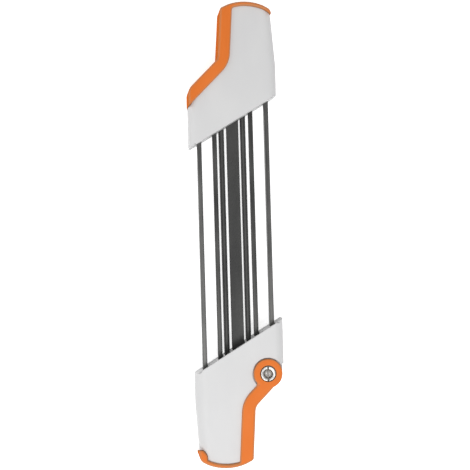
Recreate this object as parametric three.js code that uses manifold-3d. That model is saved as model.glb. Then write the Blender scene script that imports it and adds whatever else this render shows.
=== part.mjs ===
// Chainsaw file guide: two handles, seven steel bars and a locking lever.
// Millimetres, +Z up. The guide lies on its rear side. +Y runs from the lower handle to the upper one.
// Each handle is drawn in the upper handle's own frame. The lower handle is that frame turned half round.
import * as THREE from 'three';
import { mergeVertices } from 'three/addons/utils/BufferGeometryUtils.js';
import Module from 'manifold-3d';

const wasm = await Module();
wasm.setup();

// General
const clearance = 0.3;
const overrun = 12;
const depth = 27;

// Guide bars
const guideWidth = 3.4;
const guideDrop = 2;
const outerGuideHeight = 6;
const innerGuideHeight = 4;
const barGap = 8.5;
const guideGap = 1.7;

// Files. The head is in the upper handle.
const roundFileDiameter = 4.5;
const roundFileRiseShare = 0.2;
const flatFileWidth = 9.3;
const flatFileHeight = 3;
const fileGap = 1.45;
const depthGaugeSetting = 0.65;
const fileBodyLength = 217;
const fileHead = 27;
const tangLength = 20;
const tangTipShare = 0.55;

// Handle outline. A rise is measured from the inner edge's near corner, an inset from the side or the end.
const sideMargin = 6.1;
const handleLength = 110.2;
const innerEdgeRise = 39.7;
const innerFaceLean = 2.4;
const taperRise = 63;
const taperRadius = 60;
const farCornerSideInset = 3.4;
const farCornerEndInset = 8.4;
const endPeakX = 12;
const gripEndX = 6.7;
const gripEndInset = 3.9;
const gripEndEase = 0.7;
const neckX = 10.9;
const neckPastLeverNeck = 1.7;
const neckRadius = 4;
const shoulderRadius = 6;
const endArcSteps = 10;

// Shells
const wall = 2.2;
const sideRounding = 6;
const sideRoundingSteps = 4;

// Orange grip cover and locking lever
const flangeThickness = 2;
const webThickness = 2.5;
const edgeRounding = 3.5;
const edgeRoundingSteps = 3;
const endStrip = 3.1;
const coverBand = 9;
const leverBand = 10.3;
const leverNeckX = 10.6;
const leverNeckPastFiles = 5.3;
const hookSideInset = 8.4;
const hookEndInset = 9.4;
const hookCornerEase = 1.5;

// Lever pivot
const pivotRise = 40.8;
const pivotBelowNeck = 24.5;
const eyeRadius = 10.9;
const eyeThickness = 3.7;
const shellLip = 0.5;
const pivotSideMargin = 1.7;
const sideStepLength = 6.5;
const bushRadius = 3.85;
const bushBoreRadius = 2.5;
const pivotHeadRadius = 5.8;
const pivotHeadThickness = 1.6;
const pivotHeadSunk = 0.2;
const pivotSlotWidth = 1.2;
const pivotSlotDepth = 0.8;
const pivotNutInset = 0.2;

// Rod blocks and their pins
const blockSetback = 6;
const blockDepth = 10.5;
const pinSetback = 12.5;
const barPastPin = 3;
const pinRadius = 0.75;
const pinSunk = 1;

// Stop pad and its finger on the lever
const padThickness = 2;
const fingerThickness = 3.4;
const padMargin = 0.7;

// Shell screws
const screwRadius = 1.3;
const screwHeadRadius = 2.6;
const screwHeadThickness = 1.6;
const screwHeadSunk = 0.4;
const screwCover = 5.1;
const screwBossRadius = 3.7;
const recessWidth = 0.8;
const recessDepth = 0.9;
const gripScrewSideInset = 9.7;
const gripScrewEndInset = 17.2;
const sideScrewInset = 7.1;
const sideScrewRise = 65;
const flankScrewInset = 6.4;
const flankScrewGap = 1.4;

const roundSides = 32;
const smallSides = 16;

// Levels worked out from the sizes above
const shellRear = flangeThickness + clearance;
const shellFront = depth - shellRear;
const midPlane = depth / 2;
const cavityRear = shellRear + wall;
const cavityFront = shellFront - wall;
const roundFileRadius = roundFileDiameter / 2;
const guideUnderside = midPlane - guideDrop;
const roundFileZ = guideUnderside + roundFileRiseShare * roundFileDiameter - roundFileRadius;
const flatFileUnderside = guideUnderside - depthGaugeSetting;

// Places across the guide, from the flat file outwards
const roundFileX = flatFileWidth / 2 + fileGap + roundFileRadius;
const innerGuideX = roundFileX + roundFileRadius + guideGap + guideWidth / 2;
const outerGuideX = innerGuideX + guideWidth + barGap;
const halfWidth = outerGuideX + guideWidth / 2 + sideMargin;
const farCornerX = halfWidth - farCornerSideInset;
const shellCornerRadius = eyeRadius + shellLip;
const pivotX = halfWidth - pivotSideMargin - shellCornerRadius;

// Places along it: the files' length sets how far apart the handles are
const fileTail = pivotRise + pivotBelowNeck - leverNeckPastFiles;
const innerEdgeNear = (fileBodyLength - fileHead - fileTail) / 2;
const halfLength = innerEdgeNear + handleLength;
const fileReach = innerEdgeNear + fileTail;
const bodyEnd = innerEdgeNear + fileHead;
const tangEnd = bodyEnd + tangLength;
const taperStart = innerEdgeNear + taperRise;
const farCornerY = halfLength - farCornerEndInset;
const gripEndY = halfLength - gripEndInset;
const pivotY = innerEdgeNear + pivotRise;
const leverNeckY = pivotY + pivotBelowNeck;
const neckY = leverNeckY + neckPastLeverNeck;
const barEmbed = pinSetback + barPastPin;

const gripEndRadius = edgeRounding + gripEndEase;
const hookCornerRadius = edgeRounding + hookCornerEase;
const edgeSlope = innerEdgeRise / (2 * halfWidth);
const edgeAngle = Math.atan(edgeSlope);
const pivot = new THREE.Vector2(-pivotX, pivotY);
const hookRadius = pivot.distanceTo(new THREE.Vector2(halfWidth - hookSideInset, halfLength - hookEndInset));
const base = innerEdgeNear - innerFaceLean - overrun;
const footY = neckY - (halfWidth - neckX) - coverBand * Math.SQRT2;

// Solids

function solidOf(geometry) {
  geometry.deleteAttribute('normal');
  geometry.deleteAttribute('uv');
  const merged = mergeVertices(geometry);
  return new wasm.Manifold(new wasm.Mesh({
    numProp: 3,
    vertProperties: Float32Array.from(merged.attributes.position.array),
    triVerts: Uint32Array.from(merged.index.array),
  }));
}

function geometryOf(solid) {
  const mesh = solid.getMesh();
  const geometry = new THREE.BufferGeometry();
  geometry.setAttribute('position', new THREE.BufferAttribute(Float32Array.from(mesh.vertProperties), 3));
  geometry.setIndex(new THREE.BufferAttribute(Uint32Array.from(mesh.triVerts), 1));
  return geometry;
}

function boxBetween(low, high) {
  const geometry = new THREE.BoxGeometry(high[0] - low[0], high[1] - low[1], high[2] - low[2]);
  geometry.translate((low[0] + high[0]) / 2, (low[1] + high[1]) / 2, (low[2] + high[2]) / 2);
  return solidOf(geometry);
}

// A post along Z, which may taper.
function post(x, y, low, high, radius, sides = roundSides, topRadius = radius) {
  const geometry = new THREE.CylinderGeometry(topRadius, radius, high - low, sides);
  geometry.rotateX(Math.PI / 2);
  geometry.translate(x, y, (low + high) / 2);
  return solidOf(geometry);
}

// A rod along Y, which may taper.
function rodAlongY(x, z, low, high, radius, topRadius = radius) {
  const geometry = new THREE.CylinderGeometry(topRadius, radius, high - low, smallSides);
  geometry.translate(x, (low + high) / 2, z);
  return solidOf(geometry);
}

// A turned piece along Z, from radius and height pairs that start and end on its axis.
function turned(x, y, profile, sides = roundSides) {
  const geometry = new THREE.LatheGeometry(profile.map(([r, z]) => new THREE.Vector2(r, z)), sides);
  geometry.rotateX(Math.PI / 2);
  geometry.translate(x, y, 0);
  return solidOf(geometry);
}

function prism(points, low, high) {
  const geometry = new THREE.ExtrudeGeometry(new THREE.Shape(points), {
    depth: high - low, bevelEnabled: false, steps: 1,
  });
  geometry.translate(0, 0, low);
  return solidOf(geometry);
}

// A prism whose front and rear edges are rounded all round, inside the outline.
function roundedPrism(points, low, high, radius, segments) {
  const geometry = new THREE.ExtrudeGeometry(new THREE.Shape(points), {
    depth: high - low - 2 * radius, steps: 1,
    bevelEnabled: true, bevelThickness: radius, bevelSize: radius, bevelOffset: -radius,
    bevelSegments: segments,
  });
  geometry.translate(0, 0, low + radius);
  return solidOf(geometry);
}

// Outlines: corners in counter-clockwise order, each with its radius and the name of the edge after it

function corner(x, y, radius, edge) {
  return { x, y, radius, edge };
}

function crossing(p, u, q, v) {
  const along = ((q.x - p.x) * v.y - (q.y - p.y) * v.x) / (u.x * v.y - u.y * v.x);
  return new THREE.Vector2(p.x + u.x * along, p.y + u.y * along);
}

function isParallel(u, v) {
  const nearlyZeroShare = 1e-6;
  return Math.abs(u.x * v.y - u.y * v.x) < nearlyZeroShare;
}

// Moves each edge inwards by its own amount. Two edges in one line leave a square step between them.
function inset(corners, amountOf) {
  const count = corners.length;
  const edges = corners.map((c, i) => {
    const next = corners[(i + 1) % count];
    const along = new THREE.Vector2(next.x - c.x, next.y - c.y).normalize();
    const amount = amountOf(c);
    const start = new THREE.Vector2(c.x - along.y * amount, c.y + along.x * amount);
    return { along, amount, start };
  });
  return corners.flatMap((c, i) => {
    const before = edges[(i + count - 1) % count];
    const after = edges[i];
    if (isParallel(before.along, after.along)) {
      if (before.amount === after.amount) {
        return [{ ...c, x: after.start.x, y: after.start.y }];
      }
      const end = new THREE.Vector2(-before.along.y, before.along.x).multiplyScalar(before.amount).add(c);
      return [end, after.start].map(({ x, y }) => ({ ...c, x, y, radius: 0 }));
    }
    const point = crossing(before.start, before.along, after.start, after.along);
    const turn = before.along.x * after.along.y - before.along.y * after.along.x;
    const mean = (before.amount + after.amount) / 2;
    const radius = c.radius > 0 ? Math.max(c.radius - Math.sign(turn) * mean, 0) : 0;
    return [{ ...c, x: point.x, y: point.y, radius }];
  });
}

// Rounds each corner with an arc that meets both edges.
function rounded(corners) {
  const arcStepAngle = Math.PI / 14;
  const count = corners.length;
  return corners.flatMap((c, i) => {
    const point = new THREE.Vector2(c.x, c.y);
    const before = corners[(i + count - 1) % count];
    const after = corners[(i + 1) % count];
    const arriving = new THREE.Vector2(c.x - before.x, c.y - before.y);
    const leaving = new THREE.Vector2(after.x - c.x, after.y - c.y);
    const longest = Math.min(arriving.length(), leaving.length()) / 2;
    const turn = Math.atan2(arriving.cross(leaving), arriving.dot(leaving));
    const reach = Math.min(c.radius * Math.tan(Math.abs(turn) / 2), longest);
    if (!(reach > 0)) {
      return [point];
    }
    const sideways = new THREE.Vector2(-arriving.y, arriving.x).normalize();
    const radius = reach / Math.tan(turn / 2);
    const centre = point.clone()
      .addScaledVector(arriving.normalize(), -reach)
      .addScaledVector(sideways, radius);
    const spoke = sideways.clone().multiplyScalar(-radius);
    const origin = new THREE.Vector2();
    const steps = Math.max(2, Math.ceil(Math.abs(turn) / arcStepAngle));
    return Array.from({ length: steps + 1 }, (_, k) => (
      spoke.clone().rotateAround(origin, turn * k / steps).add(centre)));
  });
}

function circleThrough(a, b, c) {
  const left = b.clone().sub(a);
  const right = c.clone().sub(b);
  const centre = crossing(
    a.clone().add(b).divideScalar(2), new THREE.Vector2(-left.y, left.x),
    b.clone().add(c).divideScalar(2), new THREE.Vector2(-right.y, right.x));
  return { centre, radius: centre.distanceTo(a) };
}

// Points on the end arc, from the far corner round to the grip edge. The steps beside the two corners
// are double ones, to leave room for the corners' own radius. A dropped arc starts at the same far
// corner, and lies lower by the drop at its peak and down the grip edge.
function endArc(drop, nx, ny) {
  const from = new THREE.Vector2(farCornerX, farCornerY);
  const downGrip = (gripEndX - nx) / (gripEndY - ny) * drop;
  const to = new THREE.Vector2(-gripEndX + downGrip, gripEndY - drop);
  const { centre, radius } = circleThrough(from, new THREE.Vector2(endPeakX, halfLength - drop), to);
  const first = from.sub(centre).angle();
  const last = to.sub(centre).angle();
  const shares = Array.from({ length: endArcSteps - 1 }, (_, i) => (i + 1) / endArcSteps).slice(1, -1);
  return [0, ...shares, 1].map((share) => {
    const angle = first + (last - first) * share;
    return { x: centre.x + radius * Math.cos(angle), y: centre.y + radius * Math.sin(angle) };
  });
}

// The whole handle in plan, run on past its inner edge. The flank is the side below the shoulder.
function handleOutline(nx, ny, farRadius, drop = 0) {
  const arc = endArc(drop, nx, ny);
  const shoulderY = ny - (halfWidth - nx);
  return [
    corner(-halfWidth, base, 0, 'base'),
    corner(halfWidth, base, 0, 'side'),
    corner(halfWidth, taperStart, taperRadius, 'taper'),
    corner(arc[0].x, arc[0].y, farRadius, 'end'),
    ...arc.slice(1, -1).map((p) => corner(p.x, p.y, 0, 'end')),
    corner(arc.at(-1).x, arc.at(-1).y, gripEndRadius, 'grip'),
    corner(-nx, ny, neckRadius, 'diagonal'),
    corner(-halfWidth, shoulderY, shoulderRadius, 'flank'),
    corner(-halfWidth, footY, 0, 'foot'),
  ];
}

// The strip round the upper handle's end runs out to nothing at the far corner.
const upperOutline = handleOutline(neckX, neckY, gripEndRadius);
const upperOutlineUnderStrip = handleOutline(neckX, neckY, 0, endStrip);
const lowerOutline = handleOutline(leverNeckX, leverNeckY, hookCornerRadius);

// Handle frame helpers

// Everything on the bars' side of the sloping inner face, moved into the handle by a distance.
function beyondInnerFace(distance) {
  const reach = 2 * halfLength;
  const lean = innerFaceLean / (shellFront - shellRear);
  const run = (z) => distance - (shellFront - z) * lean;
  const rear = shellRear - overrun;
  const front = shellFront + overrun;
  const geometry = new THREE.ExtrudeGeometry(new THREE.Shape([
    new THREE.Vector2(-reach, rear), new THREE.Vector2(run(rear), rear),
    new THREE.Vector2(run(front), front), new THREE.Vector2(-reach, front),
  ]), { depth: 2 * reach, bevelEnabled: false, steps: 1 });
  geometry.translate(0, 0, -reach);
  geometry.rotateX(Math.PI / 2);
  geometry.rotateZ(Math.PI / 2 + edgeAngle);
  geometry.translate(-halfWidth, innerEdgeNear, 0);
  return solidOf(geometry);
}

// The inner face's place along Y at mid depth, in the handle's own frame.
function innerFaceY(x) {
  return innerEdgeNear + (x + halfWidth) * edgeSlope - innerFaceLean / 2 / Math.cos(edgeAngle);
}

function turnedHalf(solid) {
  return solid.rotate([0, 0, 180]);
}

// Bars and files, in the part's frame. Each can be grown to give the hole that it needs.

const guides = [
  { name: 'outer_guide_left', x: -outerGuideX, height: outerGuideHeight },
  { name: 'inner_guide_left', x: -innerGuideX, height: innerGuideHeight },
  { name: 'inner_guide_right', x: innerGuideX, height: innerGuideHeight },
  { name: 'outer_guide_right', x: outerGuideX, height: outerGuideHeight },
];

function guideSolid({ x, height }, grow = 0) {
  const side = guideWidth / 2 + grow;
  return boxBetween(
    [x - side, -innerFaceY(-x) - barEmbed - grow, guideUnderside - grow],
    [x + side, innerFaceY(x) + barEmbed + grow, guideUnderside + height + grow]);
}

// The tang's tip, grown with the rest, keeps the body's taper.
function roundFileSolid(x, grow = 0) {
  const radius = roundFileRadius + grow;
  const tip = roundFileRadius * tangTipShare + grow;
  const body = rodAlongY(x, roundFileZ, -fileReach - grow * 2, bodyEnd, radius);
  return body.add(rodAlongY(x, roundFileZ, bodyEnd, tangEnd + grow, radius, tip));
}

function flatFileSolid(grow = 0) {
  const side = flatFileWidth / 2 + grow;
  const tip = flatFileWidth / 2 * tangTipShare + grow;
  return prism([
    new THREE.Vector2(-side, -fileReach - grow * 2), new THREE.Vector2(side, -fileReach - grow * 2),
    new THREE.Vector2(side, bodyEnd), new THREE.Vector2(tip, tangEnd + grow),
    new THREE.Vector2(-tip, tangEnd + grow), new THREE.Vector2(-side, bodyEnd),
  ], flatFileUnderside - grow, flatFileUnderside + flatFileHeight + grow);
}

// A pin for each guide and handle, through the bar and into the block.
function pinPlaces(isUpper) {
  return guides.map(({ x }) => {
    const y = isUpper ? innerFaceY(x) + pinSetback : -innerFaceY(-x) - pinSetback;
    return { x, y };
  });
}

function pinSolid({ x, y }, grow = 0) {
  const rear = cavityRear + clearance + pinSunk - grow;
  const front = cavityFront - clearance - pinSunk + grow;
  return post(x, y, rear, front, pinRadius + grow, smallSides);
}

const barHoles = wasm.Manifold.union([
  ...guides.map((guide) => guideSolid(guide, clearance)),
  roundFileSolid(-roundFileX, clearance),
  roundFileSolid(roundFileX, clearance),
  flatFileSolid(clearance),
]);

// Shells

// The white plastic's outline in plan, under the orange edge. Growing it gives the orange part its room.
const underWeb = webThickness + clearance;

function upperShellOutline(grow) {
  const amounts = { grip: underWeb, diagonal: underWeb, flank: underWeb, end: clearance };
  return inset(upperOutlineUnderStrip, (c) => (amounts[c.edge] ?? 0) - grow);
}

function lowerShellOutline(grow) {
  const cornerX = pivot.x - shellCornerRadius;
  const stepY = pivotY - sideStepLength;
  const fromSide = cornerX + halfWidth;
  const outline = lowerOutline.map((c) => (c.edge === 'foot' ? { ...c, y: stepY } : c));
  const amounts = { grip: underWeb, diagonal: underWeb, end: endStrip + clearance, flank: fromSide };
  return inset(outline, (c) => (amounts[c.edge] ?? 0) - grow);
}

function pivotDisc(radius, low, high) {
  return post(pivot.x, pivot.y, low, high, radius);
}

function lowerShellBody(grow, low, high) {
  const sides = 96;
  const hookArc = post(pivot.x, pivot.y, low, high, hookRadius - clearance + grow, sides);
  return prism(rounded(lowerShellOutline(grow)), low, high)
    .intersect(hookArc)
    .add(pivotDisc(shellCornerRadius + grow, low, high));
}

function upperShellBody(grow, low, high) {
  return prism(rounded(upperShellOutline(grow)), low, high);
}

// The long sides' big rounding, as a rounded slab over the whole handle.
function roundedSlab() {
  const top = halfLength + overrun;
  const taperRun = (halfWidth - farCornerX) / (farCornerY - taperStart);
  const topX = halfWidth - (top - taperStart) * taperRun;
  return roundedPrism(rounded([
    corner(-halfWidth, base, 0, 'base'), corner(halfWidth, base, 0, 'side'),
    corner(halfWidth, taperStart, taperRadius, 'taper'), corner(topX, top, 0, 'end'),
    corner(-halfWidth, top, 0, 'flank'),
  ]), shellRear, shellFront, sideRounding, sideRoundingSteps);
}

// The outline with its end arc replaced by a straight edge past the end of the handle.
function openEnded(outline) {
  const [taper, far, grip, neck] = ['taper', 'end', 'grip', 'diagonal'].map((edge) => (
    outline.find((c) => c.edge === edge)));
  const top = new THREE.Vector2(0, halfLength + overrun);
  const level = new THREE.Vector2(1, 0);
  const right = crossing(taper, new THREE.Vector2(far.x - taper.x, far.y - taper.y), top, level);
  const left = crossing(grip, new THREE.Vector2(neck.x - grip.x, neck.y - grip.y), top, level);
  return outline.filter((c) => c.edge !== 'end' || c === far).map((c) => {
    if (c === far) {
      return corner(right.x, right.y, 0, 'end');
    }
    return c === grip ? corner(left.x, left.y, 0, 'grip') : c;
  });
}

// The hollow is open along the grip edge and the end, where the orange part closes it.
function cavityOf(outline) {
  const amounts = { side: wall, taper: wall, flank: wall, foot: wall, grip: -overrun, diagonal: -overrun,
    end: -overrun };
  const hollow = inset(openEnded(outline), (c) => amounts[c.edge] ?? 0);
  return prism(hollow.map((c) => new THREE.Vector2(c.x, c.y)), cavityRear, cavityFront)
    .subtract(beyondInnerFace(wall));
}

const screws = [
  { x: halfWidth - gripScrewSideInset, y: halfLength - gripScrewEndInset },
  { x: halfWidth - sideScrewInset, y: innerEdgeNear + sideScrewRise },
  { x: flankScrewInset - halfWidth, y: pivotY - shellCornerRadius - flankScrewGap },
];
const screwHeadRear = shellRear + screwHeadSunk;
const screwSeat = screwHeadRear + screwHeadThickness + clearance;
const screwEnd = shellFront - screwCover;

function shellBosses(grow = 0) {
  return wasm.Manifold.union(screws.map(({ x, y }) => (
    post(x, y, shellRear, shellFront, screwBossRadius + grow, smallSides))));
}

function shellScrewHoles() {
  const end = screwEnd + clearance;
  return wasm.Manifold.union(screws.flatMap(({ x, y }) => [
    post(x, y, shellRear - overrun, screwSeat, screwHeadRadius + clearance, smallSides),
    post(x, y, screwSeat - clearance, end, screwRadius + clearance, smallSides),
  ]));
}

function frontHalf(solid) {
  const reach = 2 * halfLength;
  const low = [-reach, -reach, midPlane + clearance / 2];
  return solid.intersect(boxBetween(low, [reach, reach, depth + overrun]));
}

function rearHalf(solid) {
  const reach = 2 * halfLength;
  const high = [reach, reach, midPlane - clearance / 2];
  return solid.intersect(boxBetween([-reach, -reach, -overrun], high));
}

function hollowShell(body, outline) {
  const slab = roundedSlab();
  return body.subtract(cavityOf(outline)).add(shellBosses().intersect(body))
    .intersect(slab)
    .subtract(beyondInnerFace(0))
    .subtract(shellScrewHoles());
}

function upperShell() {
  return hollowShell(upperShellBody(0, shellRear, shellFront), upperShellOutline(0)).subtract(barHoles);
}

function lowerShell() {
  const shell = hollowShell(lowerShellBody(0, shellRear, shellFront), lowerShellOutline(0));
  const boss = pivotDisc(shellCornerRadius, shellRear, shellFront).intersect(roundedSlab());
  const eyeRoom = shellCornerRadius + clearance;
  const rearRoom = pivotDisc(eyeRoom, -overrun, eyeThickness + clearance);
  const frontRoom = pivotDisc(eyeRoom, depth - eyeThickness - clearance, depth + overrun);
  const bushHole = pivotDisc(bushRadius + clearance, -overrun, depth + overrun);
  const cut = shell.add(boss)
    .subtract(rearRoom).subtract(frontRoom)
    .subtract(bushHole).subtract(shellScrewHoles());
  return turnedHalf(cut).subtract(barHoles);
}

// Orange parts

// The cover's front flange stops at this line, parallel to the grip edge, and the white face starts.
function whiteField(handle, band, end) {
  const outline = handle.filter((c) => c.edge !== 'foot');
  const besideBand = inset(openEnded(outline), (c) => ({ grip: band, diagonal: band }[c.edge] ?? -overrun));
  const belowEnd = inset(outline, (c) => (c.edge === 'end' ? end : -overrun));
  return prism(rounded(besideBand), -overrun, depth + overrun)
    .intersect(prism(rounded(belowEnd), -2 * overrun, depth + 2 * overrun));
}

function upperGripCover() {
  const outer = roundedPrism(rounded(upperOutline), 0, depth, edgeRounding, edgeRoundingSteps);
  return outer
    .subtract(upperShellBody(clearance, flangeThickness, depth - flangeThickness))
    .subtract(whiteField(upperOutlineUnderStrip, coverBand, 0));
}

function pivotEye(low, high) {
  return pivotDisc(eyeRadius, low, high);
}

// The finger reaches in from the web behind the files' ends.
const padNear = fileReach + clearance;
const padFar = padNear + padThickness;
const padLow = roundFileZ - roundFileRadius - padMargin;
const padHigh = flatFileUnderside + flatFileHeight + padMargin;
const padHalfWidth = roundFileX + roundFileRadius + padMargin;

function finger() {
  const near = padFar + clearance;
  return boxBetween([-leverNeckX, near, padLow], [padHalfWidth, near + fingerThickness, padHigh]);
}

// The arm starts on the line through the pivot, square to the diagonal.
function armPastPivot() {
  const reach = 2 * halfLength;
  return prism([
    pivot, new THREE.Vector2(pivot.x + reach, pivot.y), new THREE.Vector2(pivot.x + reach, pivot.y + reach),
    new THREE.Vector2(pivot.x - reach, pivot.y + reach),
  ], -overrun, depth + overrun);
}

function lockingLever() {
  const sides = 96;
  const bodyFront = depth - flangeThickness;
  const outer = roundedPrism(rounded(lowerOutline), 0, depth, edgeRounding, edgeRoundingSteps);
  const field = whiteField(lowerOutline, leverBand, endStrip)
    .intersect(post(pivot.x, pivot.y, -2 * overrun, depth + 2 * overrun, hookRadius, sides));
  const arm = outer.intersect(armPastPivot())
    .subtract(lowerShellBody(clearance, flangeThickness, bodyFront))
    .subtract(field)
    .subtract(pivotDisc(shellCornerRadius + clearance, flangeThickness, bodyFront));
  const headRoom = depth - pivotHeadSunk - pivotHeadThickness - clearance;
  const lever = arm.add(pivotEye(0, eyeThickness)).add(pivotEye(depth - eyeThickness, depth))
    .subtract(pivotDisc(bushRadius + clearance, -overrun, depth + overrun))
    .subtract(pivotDisc(pivotHeadRadius + clearance, headRoom, depth + overrun))
    .subtract(pivotDisc(pivotHeadRadius + clearance, -overrun, depth - headRoom))
    .add(finger());
  return turnedHalf(lever);
}

// The pad's end stands clear of the web's sloping inside.
function fileStopPad() {
  const neckRun = Math.max(leverNeckY - padFar, 0);
  const webSideX = leverNeckX + neckRun - (webThickness + clearance) * Math.SQRT2;
  return turnedHalf(boxBetween([-webSideX, padNear, padLow], [padHalfWidth, padFar, padHigh]));
}

// Pivot hardware

const headTop = depth - pivotHeadSunk;
const headBottom = headTop - pivotHeadThickness;

function pivotScrew() {
  const shankEnd = pivotHeadSunk * 2;
  const slotReach = pivotHeadRadius + clearance;
  const slot = boxBetween(
    [pivot.x - pivotSlotWidth / 2, pivot.y - slotReach, headTop - pivotSlotDepth],
    [pivot.x + pivotSlotWidth / 2, pivot.y + slotReach, headTop + overrun]);
  const shankRadius = bushBoreRadius - clearance;
  const rimTop = headTop - pivotSlotDepth;
  const screw = turned(pivot.x, pivot.y, [
    [0, shankEnd], [shankRadius, shankEnd], [shankRadius, headBottom], [pivotHeadRadius, headBottom],
    [pivotHeadRadius, rimTop], [pivotHeadRadius - pivotSlotDepth, headTop], [0, headTop],
  ]);
  return turnedHalf(screw.subtract(slot));
}

function pivotBush() {
  const rear = depth - headBottom + clearance;
  const front = headBottom - clearance;
  const bore = pivotDisc(bushBoreRadius, -overrun, depth + overrun);
  return turnedHalf(pivotDisc(bushRadius, rear, front).subtract(bore));
}

function pivotNut() {
  const hexSides = 6;
  const radius = pivotHeadRadius - pivotNutInset;
  const nut = post(pivot.x, pivot.y, pivotHeadSunk, depth - headBottom, radius, hexSides);
  return turnedHalf(nut.subtract(pivotDisc(bushBoreRadius, -overrun, depth + overrun)));
}

// Blocks, which keep clear of the shells' walls and screw bosses

function blockBlank(shellOutline) {
  const room = inset(openEnded(shellOutline), () => wall + clearance);
  const points = room.map((c) => new THREE.Vector2(c.x, c.y));
  return prism(points, cavityRear + clearance, cavityFront - clearance)
    .intersect(beyondInnerFace(blockSetback + blockDepth))
    .subtract(beyondInnerFace(blockSetback))
    .subtract(shellBosses(clearance));
}

// The lower block also keeps clear of the boss round the lever's pivot.
function rodBlock(isUpper) {
  const pivotRoom = pivotDisc(shellCornerRadius + clearance, -overrun, depth + overrun);
  const blank = isUpper
    ? blockBlank(upperShellOutline(0))
    : turnedHalf(blockBlank(lowerShellOutline(0)).subtract(pivotRoom));
  const pinHoles = pinPlaces(isUpper).map((place) => pinSolid(place, clearance));
  return blank.subtract(barHoles).subtract(wasm.Manifold.union(pinHoles));
}

function pinnedGuide(guide) {
  const holes = [...pinPlaces(true), ...pinPlaces(false)].map((place) => pinSolid(place, clearance));
  return guideSolid(guide).subtract(wasm.Manifold.union(holes));
}

// Shell screws come in from the rear.
function shellScrew({ x, y }) {
  const seat = screwHeadRear + screwHeadThickness;
  const recess = (wide, long) => boxBetween(
    [x - wide / 2, y - long / 2, screwHeadRear - overrun],
    [x + wide / 2, y + long / 2, screwHeadRear + recessDepth]);
  return turned(x, y, [
    [0, screwHeadRear], [screwHeadRadius, screwHeadRear], [screwHeadRadius, seat], [screwRadius, seat],
    [screwRadius, screwEnd], [0, screwEnd],
  ], smallSides)
    .subtract(recess(recessWidth, screwHeadRadius))
    .subtract(recess(screwHeadRadius, recessWidth));
}

// Materials

function finish(color, roughness, metalness) {
  return () => new THREE.MeshStandardMaterial({ color, roughness, metalness });
}

const palePlastic = finish(0xdcdcdc, 0.5, 0);
const orangePlastic = finish(0xe8732a, 0.45, 0);
const blackPlastic = finish(0x1e1e1f, 0.6, 0);
const darkSteel = finish(0x484848, 0.5, 0.8);
const guideSteel = finish(0x767878, 0.4, 0.9);
const brightSteel = finish(0xc8c8c4, 0.2, 1);
const softRubber = finish(0x2a2a2a, 0.9, 0);

// Assembly

function piece(name, solid, material) {
  const mesh = new THREE.Mesh(geometryOf(solid), material());
  mesh.name = name;
  return mesh;
}

function upperHandle() {
  const shell = upperShell();
  const group = new THREE.Group();
  group.add(
    piece('upper_front_shell', frontHalf(shell), palePlastic),
    piece('upper_rear_shell', rearHalf(shell), palePlastic),
    piece('upper_grip_cover', upperGripCover(), orangePlastic),
    piece('upper_rod_block', rodBlock(true), blackPlastic),
    ...screws.map((place, i) => piece(`upper_shell_screw_${i + 1}`, shellScrew(place), brightSteel)),
    ...pinPlaces(true).map((place, i) => piece(`upper_bar_pin_${i + 1}`, pinSolid(place), brightSteel)),
  );
  return group;
}

function lowerHandle() {
  const shell = lowerShell();
  const group = new THREE.Group();
  group.add(
    piece('lower_front_shell', frontHalf(shell), palePlastic),
    piece('lower_rear_shell', rearHalf(shell), palePlastic),
    piece('lower_rod_block', rodBlock(false), blackPlastic),
    ...screws.map((place, i) => (
      piece(`lower_shell_screw_${i + 1}`, turnedHalf(shellScrew(place)), brightSteel))),
    ...pinPlaces(false).map((place, i) => piece(`lower_bar_pin_${i + 1}`, pinSolid(place), brightSteel)),
  );
  return group;
}

function leverGroup() {
  const group = new THREE.Group();
  group.add(
    piece('locking_lever', lockingLever(), orangePlastic),
    piece('file_stop_pad', fileStopPad(), softRubber),
    piece('pivot_screw', pivotScrew(), brightSteel),
    piece('pivot_bush', pivotBush(), brightSteel),
    piece('pivot_nut', pivotNut(), brightSteel),
  );
  return group;
}

function barGroup() {
  const group = new THREE.Group();
  group.add(
    ...guides.map((guide) => piece(guide.name, pinnedGuide(guide), guideSteel)),
    piece('round_file_left', roundFileSolid(-roundFileX), darkSteel),
    piece('round_file_right', roundFileSolid(roundFileX), darkSteel),
    piece('flat_file', flatFileSolid(), darkSteel),
  );
  return group;
}

const fileGuide = new THREE.Group();
fileGuide.add(upperHandle(), lowerHandle(), leverGroup(), barGroup());

export default fileGuide;
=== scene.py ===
"""Looks of the chainsaw file guide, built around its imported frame.

Shapes are written in millimetres in the upper handle's own frame: +Y towards that handle's end, +Z out of
the front. The lower handle is the same frame turned half round. Meshes are made in metres.
"""
import logging
import math
from dataclasses import dataclass, replace
from enum import Enum
from typing import Sequence

import bmesh
import bpy
import numpy as np
from mathutils import Matrix, Vector


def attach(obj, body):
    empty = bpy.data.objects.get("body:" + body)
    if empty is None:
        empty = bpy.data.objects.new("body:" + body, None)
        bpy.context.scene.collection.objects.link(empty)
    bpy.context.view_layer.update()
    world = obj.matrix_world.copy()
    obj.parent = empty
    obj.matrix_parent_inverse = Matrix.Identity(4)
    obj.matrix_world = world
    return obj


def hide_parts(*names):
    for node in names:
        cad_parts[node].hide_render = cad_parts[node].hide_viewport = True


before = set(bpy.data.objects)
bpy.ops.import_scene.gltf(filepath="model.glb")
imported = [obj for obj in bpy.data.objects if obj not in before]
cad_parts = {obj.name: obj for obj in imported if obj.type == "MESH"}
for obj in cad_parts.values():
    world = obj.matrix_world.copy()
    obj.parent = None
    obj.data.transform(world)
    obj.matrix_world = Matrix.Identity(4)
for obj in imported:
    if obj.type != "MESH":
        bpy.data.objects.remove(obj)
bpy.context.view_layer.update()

Material = bpy.types.Material
Socket = bpy.types.NodeSocket
Value = Socket | float | Sequence[float]
Values = dict[str | int, Value]
Pair = tuple[float, float]
Triple = tuple[float, float, float]
MM = 0.001
TINY = 1e-6
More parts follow.
